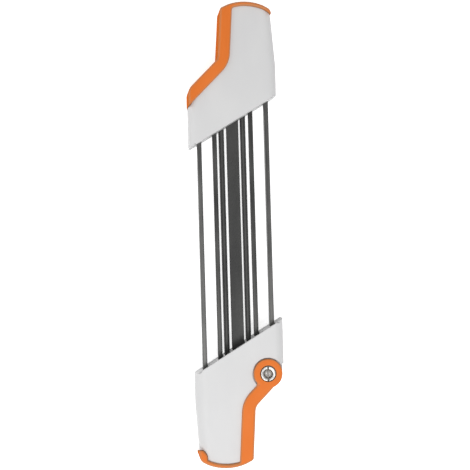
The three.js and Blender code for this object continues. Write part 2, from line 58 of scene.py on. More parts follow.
MERGE = 1e-7
LOG = logging.getLogger("file_guide")


class Edge(Enum):
    """Edges of a handle's outline, each named for what runs along it."""

    BASE, SIDE, TAPER, END, GRIP, DIAGONAL, FLANK, FOOT = range(8)


class Work(Enum):
    """Ways to work one solid with another."""

    JOIN = "UNION"
    CUT = "DIFFERENCE"
    KEEP = "INTERSECT"


class Side(Enum):
    """The two handles."""

    UPPER = "upper"
    LOWER = "lower"


@dataclass(frozen=True)
class Corner:
    """A corner of an outline, with the edge that follows it and its radius."""

    x: float
    y: float
    edge: Edge
    radius: float = 0.0

    @property
    def spot(self) -> np.ndarray:
        """The corner's place as a vector."""
        return np.array([self.x, self.y])


@dataclass
class Skin:
    """A closed surface: its points in millimetres and its faces as rows of point numbers."""

    points: np.ndarray
    faces: list[Sequence[int]]


def unit(v: np.ndarray) -> np.ndarray:
    """The vector, or each row, at length one."""
    return v / np.linalg.norm(v, axis=-1, keepdims=True)


def left_of(v: np.ndarray) -> np.ndarray:
    """The vector, or each row, turned a quarter to the left."""
    return np.stack([-v[..., 1], v[..., 0]], -1)


def cross(u: np.ndarray, v: np.ndarray) -> float:
    """The cross product of two vectors in the plane."""
    return u[0] * v[1] - u[1] * v[0]


def turn_between(u: np.ndarray, v: np.ndarray) -> float:
    """The angle from one vector to another in radians, to the left."""
    return math.atan2(cross(u, v), float(u @ v))


def crossing(p: np.ndarray, u: np.ndarray, q: np.ndarray, v: np.ndarray) -> np.ndarray:
    """Where the line through p along u crosses the line through q along v."""
    return p + u * (cross(q - p, v) / cross(u, v))


def polar(x: float, y: float, radius: float | np.ndarray, angle: np.ndarray) -> np.ndarray:
    """Plan points about a place, by radius and angle."""
    return np.stack([x + radius * np.cos(angle), y + radius * np.sin(angle)], -1)


def round_turn(count: int) -> np.ndarray:
    """Even angles round a whole turn."""
    return np.arange(count) * 2 * math.pi / count


def fillet(before: np.ndarray, spot: np.ndarray, after: np.ndarray, radius: float, count: int) -> np.ndarray:
    """The arc that rounds a corner and touches both of its edges.

    The arc's centre lies on the corner's bisector. Its points turn about the centre in even angles. It takes
    up less than half of each edge.

    Args:
        before: The corner before.
        spot: The corner to round.
        after: The corner after.
        radius: The arc's radius. With none, the corner itself is given.
        count: How many points the arc gets.

    Returns:
        An array of count rows of x and y.
    """
    most = 0.499
    arriving, leaving = spot - before, after - spot
    turn = turn_between(arriving, leaving)
    longest = most * min(np.linalg.norm(arriving), np.linalg.norm(leaving))
    reach = min(radius * math.tan(abs(turn) / 2), longest)
    if reach < TINY:
        return np.repeat(spot[None, :], count, axis=0)
    signed = reach / math.tan(turn / 2)
    ahead = unit(arriving)
    spoke = -left_of(ahead) * signed
    angles = np.linspace(0.0, turn, count)[:, None]
    centre = spot - ahead * reach + left_of(ahead) * signed
    return centre + spoke * np.cos(angles) + left_of(spoke) * np.sin(angles)


@dataclass(frozen=True)
class Outline:
    """A handle's outline in plan: corners in anticlockwise order."""

    corners: tuple[Corner, ...]

    def inset(self, amounts: dict[Edge, float], rest: float = 0.0) -> "Outline":
        """Moves each edge inwards by its own amount.

        Args:
            amounts: The amount for each named edge.
            rest: The amount for the other edges.

        Returns:
            The new outline. Two edges in one line leave a square step between them.
        """
        edges = []
        for c, after in zip(self.corners, (*self.corners[1:], self.corners[0])):
            along, amount = unit(after.spot - c.spot), amounts.get(c.edge, rest)
            edges.append((along, amount, c.spot + left_of(along) * amount))
        made: list[Corner] = []
        for i, c in enumerate(self.corners):
            (u, first, p), (v, second, q) = edges[i - 1], edges[i]
            if abs(cross(u, v)) > TINY:
                less = math.copysign((first + second) / 2, cross(u, v))
                radius = max(c.radius - less, 0.0) if c.radius else 0.0
                made.append(Corner(*crossing(p, u, q, v), c.edge, radius))
            elif first == second:
                made.append(Corner(*q, c.edge, c.radius))
            else:
                made += [Corner(*spot, c.edge) for spot in (c.spot + left_of(u) * first, q)]
        return Outline(tuple(made))

    def rounded(self, step: float = math.radians(5)) -> np.ndarray:
        """The outline's points, with each corner as an arc.

        Args:
            step: The largest turn from one point to the next, in radians.

        Returns:
            An array of rows of x and y.
        """
        parts = []
        for i, c in enumerate(self.corners):
            before, after = self.corners[i - 1].spot, self.corners[(i + 1) % len(self.corners)].spot
            turn = abs(turn_between(c.spot - before, after - c.spot))
            count = max(3, math.ceil(turn / step) + 1) if c.radius else 1
            parts.append(fillet(before, c.spot, after, c.radius, count))
        return np.vstack(parts)

    def corner(self, edge: Edge) -> Corner:
        """The first corner before the named edge."""
        return next(c for c in self.corners if c.edge is edge)

    def open_ended(self, top: float) -> "Outline":
        """Puts a straight edge in place of the end arc.

        Args:
            top: The edge's place along the handle.

        Returns:
            The new outline, whose taper and grip edge run on to that place.
        """
        far, grip = self.corner(Edge.END), self.corner(Edge.GRIP)
        moved = {}
        for c, other in ((far, self.corner(Edge.TAPER)), (grip, self.corner(Edge.DIAGONAL))):
            spot = crossing(c.spot, c.spot - other.spot, np.array([0.0, top]), np.array([1.0, 0.0]))
            moved[c] = Corner(*spot, c.edge)
        return Outline(tuple(moved.get(c, c) for c in self.corners if c.edge is not Edge.END or c == far))


def loft(rings: np.ndarray, closed: bool = False) -> Skin:
    """A skin over closed rings, one after the other, with a four-sided face for each step along and round.

    Args:
        rings: An array of rings, points and x, y, z.
        closed: Whether the last ring joins the first. If not, each end gets a flat face.

    Returns:
        The closed skin.
    """
    many, count = rings.shape[:2]
    i, j = np.arange(many if closed else many - 1)[:, None], np.arange(count)[None, :]
    here, there, after = i * count, ((i + 1) % many) * count, (j + 1) % count
    faces = np.stack([here + j, here + after, there + after, there + j], -1).reshape(-1, 4).tolist()
    if not closed:
        faces += [list(range(count)), list(range((many - 1) * count, many * count))]
    return Skin(rings.reshape(-1, 3), faces)


def at_height(plan: np.ndarray, z: float | np.ndarray) -> np.ndarray:
    """Plan points at a height, or each at its own."""
    return np.concatenate([plan, np.broadcast_to(z, plan.shape[:-1])[..., None]], -1)


def prism(plan: np.ndarray, low: float, high: float) -> Skin:
    """A straight prism over a plan outline, from low to high."""
    return loft(np.stack([at_height(plan, low), at_height(plan, high)]))


def block(low: Sequence[float], high: Sequence[float]) -> Skin:
    """A box between two corners."""
    (x, y, z), (u, v, w) = low, high
    return prism(np.array([[x, y], [u, y], [u, v], [x, v]]), z, w)


def post(x: float, y: float, low: float, high: float, radius: float, count: int = 96) -> Skin:
    """A round post along Z."""
    return prism(polar(x, y, radius, round_turn(count)), low, high)


def turned_ring(x: float, y: float, profile: Sequence[Pair], count: int = 128) -> Skin:
    """A ring along Z: a closed profile of radius and height, off the axis all the way, carried round it."""
    r, z = np.array(profile).T
    return loft(at_height(polar(x, y, r, round_turn(count)[:, None]), z), closed=True)


def turned_stack(x: float, y: float, profile: Sequence[Pair], count: int = 96) -> Skin:
    """A turned solid along Z: circles of the given radii and heights, closed by flat ends."""
    r, z = np.array(profile).T[..., None]
    return loft(at_height(polar(x, y, r, round_turn(count)), z))


def carried(section: np.ndarray, places: Sequence[float]) -> Skin:
    """A section of x and z carried along Y, with a ring at each place."""
    x, z = section.T
    return loft(np.stack([np.column_stack([x, np.full(len(x), y), z]) for y in places]))


def offset_rings(plan: np.ndarray, insets: Sequence[float], heights: Sequence[float]) -> Skin:
    """A skin over copies of a plan, each moved inwards along its corners' bisectors.

    Args:
        plan: The plan's corners in anticlockwise order.
        insets: How far each copy's edges move inwards.
        heights: Each copy's height.

    Returns:
        The closed skin.
    """
    after = left_of(unit(np.roll(plan, -1, 0) - plan))
    before = np.roll(after, 1, 0)
    miter = (after + before) / (1 + np.sum(after * before, 1, keepdims=True))
    return loft(np.stack([at_height(plan + miter * i, z) for i, z in zip(insets, heights)]))


def soft_slab(plan: np.ndarray, low: float, high: float, across: float, down: float, steps: int,
              past: float = 0.0) -> Skin:
    """A slab whose front and rear edges are rounded all round.

    The inset follows a quarter ellipse: it is across at the faces, and nothing from down below the face on.
    Where across is less than nothing the slab flares instead, as a cutter that leaves rounded edges does.

    Args:
        plan: The plan's corners in anticlockwise order.
        low: The rear face's height.
        high: The front face's height.
        across: How far in the rounding reaches.
        down: How far down the rounding reaches.
        steps: How many rings each rounding has.
        past: How far the slab runs straight on past its faces.

    Returns:
        The closed skin.
    """
    a = np.linspace(0, math.pi / 2, steps + 1)
    inset, drop = across * (1 - np.sin(a)), down * (1 - np.cos(a))
    insets, heights = [*inset, *inset[::-1]], [*(low + drop), *(high - drop[::-1])]
    if past:
        insets, heights = [across, *insets, across], [low - past, *heights, high + past]
    return offset_rings(plan, insets, heights)


def mesh_of(skin: Skin, name: str) -> bpy.types.Mesh:
    """A mesh in metres from a skin, with its faces pointing outwards.

    Args:
        skin: The surface.
        name: The mesh's name.

    Returns:
        The new mesh.
    """
    mesh = bpy.data.meshes.new(name)
    mesh.from_pydata((skin.points * MM).tolist(), [], skin.faces)
    work = bmesh.new()
    work.from_mesh(mesh)
    bmesh.ops.remove_doubles(work, verts=work.verts, dist=MERGE)
    bmesh.ops.recalc_face_normals(work, faces=work.faces)
    work.to_mesh(mesh)
    work.free()
    return mesh


def placed(name: str, data: bpy.types.ID) -> bpy.types.Object:
    """Puts a new object in the scene.

    Args:
        name: The object's name.
        data: Its mesh, light or camera.

    Returns:
        The object.
    """
    item = bpy.data.objects.new(name, data)
    bpy.context.scene.collection.objects.link(item)
    return item


def discard(item: bpy.types.Object) -> None:
    """Removes an object and its mesh.

    Args:
        item: The object.
    """
    mesh = item.data
    bpy.data.objects.remove(item)
    bpy.data.meshes.remove(mesh)


def paint(item: bpy.types.Object, material: Material) -> None:
    """Gives an object one material in place of what it has."""
    item.data.materials.clear()
    item.data.materials.append(material)


class Workpiece:
    """A solid that is joined, cut and dressed step by step."""

    def __init__(self, name: str, skin: Skin) -> None:
        """Starts from one closed skin."""
        self.item = placed(name, mesh_of(skin, name))

    def work(self, how: Work, skins: Sequence[Skin]) -> "Workpiece":
        """Works the piece with other solids, one after the other.

        Args:
            how: Whether the other solids are joined, cut away or kept.
            skins: The other solids.

        Returns:
            This workpiece.
        """
        for skin in skins:
            tool = placed("tool", mesh_of(skin, "tool"))
            modifier = self.item.modifiers.new("work", "BOOLEAN")
            modifier.operation, modifier.solver, modifier.object = how.value, "MANIFOLD", tool
            seen = self.item.evaluated_get(bpy.context.evaluated_depsgraph_get())
            made = bpy.data.meshes.new_from_object(seen)
            self.item.modifiers.clear()
            old, self.item.data = self.item.data, made
            made.name = self.item.name
            bpy.data.meshes.remove(old)
            discard(tool)
        return self

    def join(self, *skins: Skin) -> "Workpiece":
        """Joins other solids on."""
        return self.work(Work.JOIN, skins)

    def cut(self, *skins: Skin) -> "Workpiece":
        """Cuts other solids away."""
        return self.work(Work.CUT, skins)

    def keep(self, skin: Skin) -> "Workpiece":
        """Keeps only what lies inside another solid."""
        return self.work(Work.KEEP, [skin])

    def skin(self) -> Skin:
        """Takes the piece's shape. The workpiece itself is used up.

        Returns:
            The shape as a skin, in millimetres.
        """
        mesh = self.item.data
        points = np.empty(len(mesh.vertices) * 3)
        mesh.vertices.foreach_get("co", points)
        faces = [tuple(p.vertices) for p in mesh.polygons]
        discard(self.item)
        return Skin(points.reshape(-1, 3) / MM, faces)

    def half_turned(self) -> "Workpiece":
        """Turns the piece half round about Z, in its mesh."""
        self.item.data.transform(Matrix.Rotation(math.pi, 4, "Z"))
        return self

    def dress(self, material: Material, slot: str, body: str, *nodes: str, sharp: float = 28.0) -> None:
        """Shades the piece, gives it its material and body, and hides the nodes that it stands for.

        Args:
            material: Its material.
            slot: The record's material slot. It is not used.
            body: The body that it rides on.
            nodes: The nodes that it replaces.
            sharp: The angle in degrees from which an edge stays sharp.
        """
        item = self.item
        item.data.shade_smooth()
        item.data.set_sharp_from_angle(angle=math.radians(sharp))
        paint(item, material)
        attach(item, body)
        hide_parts(*nodes)
        LOG.info("%s: %d faces on %s", item.name, len(item.data.polygons), body)


def redress(node: str, material: Material) -> None:
    """Gives a carried-over node its material."""
    paint(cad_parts[node], material)
    LOG.info("%s: kept, with %s", node, material.name)


class Recipe:
    """A material's node tree while it is put together. Patterns read Object coordinates, in metres."""

    def __init__(self, name: str, colour: Triple, roughness: float, metallic: float = 0.0) -> None:
        """Starts a material.

        Args:
            name: The material's name.
            colour: Its linear base colour.
            roughness: Its roughness.
            metallic: How metallic it is.
        """
        self.material = bpy.data.materials.new(name)
        self.material.use_nodes = True
        self.material.diffuse_color = (*colour, 1.0)
        self.tree = self.material.node_tree
        self.shader = self.tree.nodes["Principled BSDF"]
        self.set({"Base Color": colour, "Roughness": roughness, "Metallic": metallic})
        self.place = self.node("TexCoord", "Object")

    def fill(self, node: bpy.types.Node, values: Values) -> None:
        """Gives a node's inputs their values, and links those whose value is a socket.

        Args:
            node: The node.
            values: Its inputs' values or sockets.
        """
        for key, value in values.items():
            if isinstance(value, Socket):
                self.tree.links.new(value, node.inputs[key])
            else:
                node.inputs[key].default_value = (*value, 1.0) if node.inputs[key].type == "RGBA" else value

    def set(self, values: Values) -> None:
        """Gives the shader's inputs their values or sockets."""
        self.fill(self.shader, values)

    def node(self, kind: str, output: str | int, values: Values | None = None,
             **settings: object) -> Socket:
        """Adds a node.

        Args:
            kind: The node's kind.
            output: Which of its outputs is wanted.
            values: Its inputs' values or sockets.
            settings: Its own settings.

        Returns:
            The output's socket.
        """
        made = self.tree.nodes.new(f"ShaderNode{kind}")
        for name, value in settings.items():
            setattr(made, name, value)
        self.fill(made, values or {})
        return made.outputs[output]

    def noise(self, scale: float, detail: float = 2.0, stretch: Triple = (1.0, 1.0, 1.0)) -> Socket:
        """Noise from 0 to 1, by its patches to a metre, its finer layers and a further scale on each axis."""
        place = self.node("Mapping", "Vector", {"Vector": self.place, "Scale": stretch})
        return self.node("TexNoise", "Fac", {"Vector": place, "Scale": scale, "Detail": detail})

    def ranged(self, source: Socket, low: float, high: float, to_low: float = 0.0,
               to_high: float = 1.0) -> Socket:
        """Maps the range from low to high onto the one from to_low to to_high, held at its ends."""
        return self.node("MapRange", "Result", {
            "Value": source, "From Min": low, "From Max": high, "To Min": to_low, "To Max": to_high})

    def varied(self, source: Socket, middle: float, less: float, more: float) -> Socket:
        """A value that a pattern varies about a middle, by so much less and more."""
        return self.ranged(source, 0.3, 0.7, middle - less, middle + more)

    def math(self, operation: str, first: Socket, second: Socket | float = 0.0) -> Socket:
        """One sum of two values."""
        return self.node("Math", 0, {0: first, 1: second}, operation=operation)

    def shared(self, first: Socket, second: Socket, share: float) -> Socket:
        """Two values added up, with the first one's share given."""
        return self.math("ADD", self.math("MULTIPLY", first, share), self.math("MULTIPLY", second, 1 - share))

    def mix(self, share: Socket, first: Value, second: Value) -> Socket:
        """A colour between two, by a share from 0 to 1."""
        return self.node("Mix", 2, {"Factor": share, 6: first, 7: second}, data_type="RGBA")

    def soft_edges(self, radius: float) -> Socket:
        """Normals that round each sharp edge by a radius in metres."""
        return self.node("Bevel", "Normal", {"Radius": radius}, samples=6)

    def edge_share(self, normal: Socket) -> Socket:
        """How much a rounded normal leaves the surface's own: 0 on a flat, towards 1 at an edge."""
        pair = {0: normal, 1: self.node("NewGeometry", "Normal")}
        return self.ranged(self.node("VectorMath", "Value", pair, operation="DOT_PRODUCT"), 0.999, 0.86)

    def size_along(self, axis: str, vector: Socket) -> Socket:
        """How long a vector is along one axis, either way."""
        return self.math("ABSOLUTE", self.node("SeparateXYZ", axis, {0: vector}))

    def upright(self) -> Socket:
        """How squarely the surface faces the front or the rear: 1 on a face, 0 on a wall."""
        return self.size_along("Z", self.node("NewGeometry", "Normal"))

    def edge_band(self) -> Socket:
        """The rounded edge between a face and a wall: 1 there, 0 on both, by how upright the surface is."""
        level = self.upright()
        return self.math("MULTIPLY", self.ranged(level, 0.97, 0.85), self.ranged(level, 0.05, 0.2))

    def relief(self, height: Socket, depth: float, strength: float, over: Socket | None = None) -> Socket:
        """Normals of a relief, by its full height in metres and how much of it shows, over other normals."""
        values = {"Height": height, "Distance": depth, "Strength": strength}
        return self.node("Bump", "Normal", values if over is None else {**values, "Normal": over})

    def openness(self, reach: float) -> Socket:
        """How open the surface is within a reach in metres: 1 in the open, lower in slots and recesses."""
        return self.node("AmbientOcclusion", "AO", {"Distance": reach}, samples=6)


@dataclass(frozen=True)
class Finish:
    """What each finish has: its name, the two colours that it is clouded with and its roughness."""

    name: str
    colour: Triple
    cloud: Triple
    roughness: float


@dataclass(frozen=True)
class MouldedPlastic(Finish):
    """Spark-eroded moulded plastic: fine grain, slight cloudiness and rubbed edges.

    Its sharp rims take the edge colour: as wear where that is lighter, and as painted shade where it is
    darker, as on the orange. Its rounded edges between face and wall take painted shade in the edge colour
    by side_shade. Where it has painted shade, that shade is stronger on its ends' rounded edges, its
    recesses are painted darker as shade and its walls are dull.
    """

    edge: Triple
    edge_strength: float
    grain_depth: float
    edge_radius: float
    specular: float = 0.4
    side_shade: float = 0.0
    # How much painted shade darkens recesses; any at all also shades the ends more and dulls the walls.
    painted_shade: float = 0.0
    ends: Pair = (0.168, 0.171)
    crevice: float = 0.003

    def material(self) -> Material:
        """Makes the plastic.

        Returns:
            Its material.
        """
        r = Recipe(self.name, self.colour, self.roughness)
        r.set({"Specular IOR Level": self.specular})
        clouds = r.ranged(r.noise(38.0, 3.0, (1.0, 0.45, 1.0)), 0.3, 0.7)
        rounded = r.soft_edges(self.edge_radius)
        # Sharp rims in the edge colour: wear where that is lighter, painted shade on the darker orange rims.
        wear_and_rim_shade = r.math("MULTIPLY", r.edge_share(rounded), self.edge_strength)
        # Painted shade in the edge colour on the rounded edges between face and wall.
        shaded = r.math("MULTIPLY", r.edge_band(), self.side_shade)
        if self.painted_shade:
            # Painted shade on the rounded edges is stronger near the handles' ends.
            near_ends = r.ranged(r.size_along("Y", r.place), *self.ends, 0.62, 1.0)
            # Painted shade in recesses and in corners beside the pale face, from ambient occlusion.
            recesses = r.ranged(r.openness(self.crevice), 0.98, 0.72, 0.0, self.painted_shade)
            shaded = r.math("MAXIMUM", r.math("MULTIPLY", shaded, near_ends), recesses)
            r.set({"Specular IOR Level": r.ranged(r.upright(), 0.2, 0.8, 0.0, self.specular)})
        colour = r.mix(clouds, self.colour, self.cloud)
        r.set({"Base Color": r.mix(r.math("MAXIMUM", wear_and_rim_shade, shaded), colour, self.edge),
               "Roughness": r.varied(r.noise(160.0), self.roughness, 0.05, 0.06),
               "Normal": r.relief(r.noise(2600.0), self.grain_depth, 0.5, rounded)})
        return r.material


@dataclass(frozen=True)
class DrawnSteel(Finish):
    """Cold-drawn bar: long fine die lines, a cloudy grey skin and edges rubbed bright."""

    metallic: float = 0.92
    edge: Triple = (0.42, 0.42, 0.41)

    def material(self) -> Material:
        """Makes the bar steel.

        Returns:
            Its material.
        """
        r = Recipe(self.name, self.cloud, self.roughness, self.metallic)
        lines = r.noise(900.0, 3.0, (1.0, 0.012, 1.0))
        clouds = r.noise(70.0, 4.0, (1.0, 0.35, 1.0))
        colour = r.mix(r.ranged(r.shared(lines, clouds, 0.45), 0.36, 0.64), self.colour, self.cloud)
        rounded = r.soft_edges(0.0003)
        r.set({"Base Color": r.mix(r.math("MULTIPLY", r.edge_share(rounded), 0.5), colour, self.edge),
               "Roughness": r.varied(clouds, self.roughness, 0.08, 0.1),
               "Normal": r.relief(lines, 0.00002, 0.6, rounded)})
        return r.material


@dataclass(frozen=True)
class FileSteel(Finish):
    """Hardened file steel: near-black oil finish with brighter clouds and specks."""

    metallic: float = 0.55

    def material(self) -> Material:
        """Makes the file steel.

        Returns:
            Its material.
        """
        r = Recipe(self.name, self.colour, self.roughness, self.metallic)
        clouds = r.noise(55.0, 4.0, (1.0, 0.3, 1.0))
        specks = r.noise(1900.0, 2.0, (1.0, 0.5, 1.0))
        share = r.ranged(r.shared(clouds, specks, 0.6), 0.38, 0.66)
        r.set({"Base Color": r.mix(share, self.colour, self.cloud),
               "Roughness": r.varied(specks, self.roughness, 0.07, 0.08),
               "Normal": r.relief(specks, 0.00003, 0.5)})
        return r.material


@dataclass(frozen=True)
class PlatedSteel(Finish):
    """Bright zinc plate: soft clouds, softened edges and painted shade in its slots and recesses."""

    # The colour of the painted shade in slots and recesses.
    painted_shade: Triple = (0.11, 0.095, 0.08)

    def material(self) -> Material:
        """Makes the plating.

        Returns:
            Its material.
        """
        r = Recipe(self.name, self.colour, self.roughness, 1.0)
        clouds = r.ranged(r.noise(420.0, 3.0), 0.32, 0.68)
        # Painted shade in slots and recesses, from ambient occlusion.
        recesses = r.ranged(r.openness(0.004), 0.82, 0.985, 1.0, 0.0)
        r.set({"Base Color": r.mix(recesses, r.mix(clouds, self.colour, self.cloud), self.painted_shade),
               "Roughness": r.varied(r.noise(900.0), self.roughness, 0.06, 0.1),
               "Normal": r.relief(r.noise(5200.0), 0.000006, 0.5, r.soft_edges(0.00025))})
        return r.material


@dataclass(frozen=True)
class PadRubber(Finish):
    """Matt black rubber with a fine pebble and a little dust."""

    def material(self) -> Material:
        """Makes the rubber.

        Returns:
            Its material.
        """
        r = Recipe(self.name, self.colour, self.roughness)
        r.set({"Base Color": r.mix(r.ranged(r.noise(240.0, 4.0), 0.45, 0.75), self.colour, self.cloud),
               "Normal": r.relief(r.noise(2400.0), 0.00006, 0.6, r.soft_edges(0.0003))})
        return r.material


@dataclass
class Sizes:
    """Sizes of the guide that its pieces share, in millimetres.

    A bar's pair is its place across and its height. A cutter stands past what it cuts by past or just_past.
    """

    clearance: float = 0.3
    overrun: float = 12.0
    depth: float = 27.0
    half_length: float = 175.2
    half_width: float = 33.7
    edge_near: float = 65.0
    edge_rise: float = 39.7
    face_lean: float = 2.4
    shell_rear: float = 2.3
    wall: float = 2.2
    flange: float = 2.0
    web: float = 2.5
    pivot: Pair = (-20.6, 105.8)
    shell_corner: float = 11.4
    eye_radius: float = 10.9
    eye_thickness: float = 3.7
    bush_radius: float = 3.85
    outer_bar: Pair = (25.9, 6.0)
    inner_bar: Pair = (14.0, 4.0)
    round_file_x: float = 8.35
    past: float = 5.0
    just_past: float = 1.0

    @property
    def shell_front(self) -> float:
        """The front face's height of the pale shells."""
        return self.depth - self.shell_rear

    @property
    def slope(self) -> float:
        """How much the inner edge rises across the handle."""
        return self.edge_rise / (2 * self.half_width)

    @property
    def base(self) -> float:
        """Where a plan that runs on past the inner edge starts."""
        return self.edge_near - self.face_lean - self.overrun

    def inner_face_y(self, x: float) -> float:
        """Where the sloping inner face is at mid depth, for a place across."""
        lean = self.face_lean / 2 / math.cos(math.atan(self.slope))
        return self.edge_near + (x + self.half_width) * self.slope - lean


@dataclass
class HandlePlan:
    """The plan of one handle: its outer outline and what the orange edge takes off it."""

    sizes: Sizes
    neck: Pair = (10.9, 132.0)
    neck_radius: float = 7.0
    shoulder_radius: float = 9.0
    grip_end: Pair = (8.1, 170.4)
    grip_end_radius: float = 2.6
    far_corner: Pair = (30.5, 169.2)
    far_radius: float = 5.5
    end_peak: float = 10.6
    taper_start: float = 128.0
    taper_radius: float = 60.0
    foot_y: float = 96.47

    def side_corners(self) -> tuple[Corner, ...]:
        """The plan's corners from past the inner edge to the long side's taper.

        Returns:
            The two corners past the inner edge and the one where the taper starts.
        """
        w, base = self.sizes.half_width, self.sizes.base
        return (Corner(-w, base, Edge.BASE), Corner(w, base, Edge.SIDE),
                Corner(w, self.taper_start, Edge.TAPER, self.taper_radius))

    @property
    def neck_spot(self) -> np.ndarray:
        """The corner where the grip edge meets the diagonal."""
        return np.array([-self.neck[0], self.neck[1]])

    @property
    def shoulder_spot(self) -> np.ndarray:
        """The corner where the diagonal, at 45 degrees, meets the flank."""
        w = self.sizes.half_width
        return np.array([-w, self.neck[1] - (w - self.neck[0])])

    @property
    def diagonal(self) -> np.ndarray:
        """The diagonal's direction, from the shoulder to the neck."""
        return unit(self.neck_spot - self.shoulder_spot)

    @property
    def upward(self) -> np.ndarray:
        """The grip edge's direction, from the neck to the end."""
        return unit(np.array([-self.grip_end[0], self.grip_end[1]]) - self.neck_spot)

    def field(self, band: float, strip: Triple, radii: Pair) -> np.ndarray:
        """The plan of the pale field beside an orange band and under an end strip.

        Args:
            band: The band's width along the diagonal and the grip edge.
            strip: The end strip's width at the far corner, at the peak and at the grip's end.
            radii: The radii at the strip's corner and at the neck.

        Returns:
            The field's plan, run on past the handle on its other sides.
        """
        many, clear = 61, 2.5 * radii[0]
        s, past, (d, u) = self.sizes, self.sizes.overrun, (self.diagonal, self.upward)
        beside_d, beside_g = (self.neck_spot - left_of(way) * band for way in (d, u))
        neck = crossing(beside_d, d, beside_g, u)
        foot = crossing(beside_d, d, np.array([-s.half_width - past, 0.0]), np.array([0.0, 1.0]))
        arc = self.end_arc(strip, many)
        cut = int(np.argmax((arc - beside_g) @ left_of(u) > 0))
        top = crossing(arc[cut - 1], arc[cut] - arc[cut - 1], beside_g, u)
        kept = arc[:cut][np.linalg.norm(arc[:cut] - top, axis=1) > clear]
        right = kept[0] + unit(kept[0] - kept[1]) * past
        base, side = s.base - past, s.half_width + past
        spots = [foot, (foot[0], base), (side, base), (side, right[1]), right, *kept]
        plain = [Corner(*spot, Edge.END) for spot in spots]
        soft = (Corner(*top, Edge.GRIP, radii[0]), Corner(*neck, Edge.DIAGONAL, radii[1]))
        return Outline((*plain, *soft)).rounded()

    def end_arc(self, drops: Triple, count: int) -> np.ndarray:
        """Points on the circle through the far corner, the end's peak and the grip's end.

        Args:
            drops: How much lower each of the three is taken.
            count: How many points the arc gets.

        Returns:
            The arc's points, from the far corner round to the grip edge.
        """
        far, (first, second, third) = np.array(self.far_corner), drops
        a = far + unit(np.array([self.sizes.half_width, self.taper_start]) - far) * first
        (gx, gy), (nx, ny) = self.grip_end, self.neck
        b = np.array([self.end_peak, self.sizes.half_length - second])
        c = np.array([-gx + (gx - nx) / (gy - ny) * third, gy - third])
        centre = crossing((a + b) / 2, left_of(b - a), (b + c) / 2, left_of(c - b))
        start, end = (math.atan2(y, x) for x, y in (a - centre, c - centre))
        return polar(*centre, np.linalg.norm(a - centre), np.linspace(start, end, count))

    def outline(self, drop: float = 0.0) -> Outline:
        """The handle's outline, run on past its inner edge.

        The arc's points next to its two ends are left out, so that the ends' radii have room.

        Args:
            drop: How much lower the end arc is taken.

        Returns:
            The outline, with the foot at the end of the flank.
        """
        arc = self.end_arc((drop, drop, drop), 13)
        return Outline((
            *self.side_corners(),
            Corner(*arc[0], Edge.END, 0.0 if drop else self.far_radius),
            *(Corner(*p, Edge.END) for p in arc[2:-2]),
            Corner(*arc[-1], Edge.GRIP, self.grip_end_radius),
            Corner(*self.neck_spot, Edge.DIAGONAL, self.neck_radius),
            Corner(*self.shoulder_spot, Edge.FLANK, self.shoulder_radius),
            Corner(-self.sizes.half_width, self.foot_y, Edge.FOOT),
        ))


@dataclass
class HookRoom:
    """The room inside the lever's hook: a circle about the pivot, the head's bulge and a step beside it."""

    sizes: Sizes
    radius: float = 76.2
    step_x: float = 26.6
    step_lean: float = 0.6
    bulge: float = 1.3
    fullness: float = 0.8
    corner: float = 1.9
    tip_front: float = 160.8
    tip_rear: float = 165.4
    tip_root: float = 120.0
    outside: float = 40.0

    def past_tip(self, back: float) -> Skin:
        """What lies on the bars' side of the hook's tip, whose end slants away towards the rear.

        Args:
            back: How far the solid keeps clear of the hook.

        Returns:
            The solid's skin.
        """
        s, root, slant = self.sizes, self.tip_root, self.tip_front - self.tip_rear
        low, high = -s.past, s.depth + s.past
        start, end = (self.tip_rear - back + slant * z / s.depth for z in (low, high))
        section = ((root, low), (start, low), (end, high), (root, high))
        return loft(np.array([[(x, *p) for p in section] for x in (self.step_x + back, self.outside)]))

    def plan(self, grow: float) -> np.ndarray:
        """The room's plan, run on past the handle on the sides without a hook.

        The arc's radius is less by a bulge that follows a power of a half sine from the handle's side to the
        step. The last fifth of it is one straight piece, so that the step's rounded corner has room.

        Args:
            grow: How far its edges move outwards.

        Returns:
            The plan in anticlockwise order.
        """
        (px, py), r, x = self.sizes.pivot, self.radius + grow, self.step_x + grow
        past = self.sizes.half_length + self.sizes.overrun
        first, last = (math.acos((edge - px) / r) for edge in (self.sizes.half_width, x))
        curved, bulge_points, plain_points = 0.8, 13, 24
        share = np.array([*np.linspace(0.0, curved, bulge_points), 1.0])
        plain = np.linspace(0.0, first, plain_points)[:-1]
        spoke = r - self.bulge * np.concatenate([plain * 0, np.sin(math.pi * share) ** self.fullness])
        arc = polar(px, py, spoke, np.concatenate([plain, first + (last - first) * share]))
        ends = [(x - self.step_lean, past), (-past / 2, past), (-past / 2, 0.0), (arc[0, 0], 0.0)]
        corners = [*(Corner(*p, Edge.SIDE) for p in arc[:-1]), Corner(*arc[-1], Edge.END, self.corner)]
        return Outline((*corners, *(Corner(*p, Edge.END) for p in ends))).rounded()


def both_sides(rows: list[Pair], middle: Sequence[Pair] = ()) -> list[Pair]:
    """Rows whose first value is a place across, the middle ones, and the first rows' mirror images."""
    return [*rows, *middle, *((-x, value) for x, value in rows[::-1])]


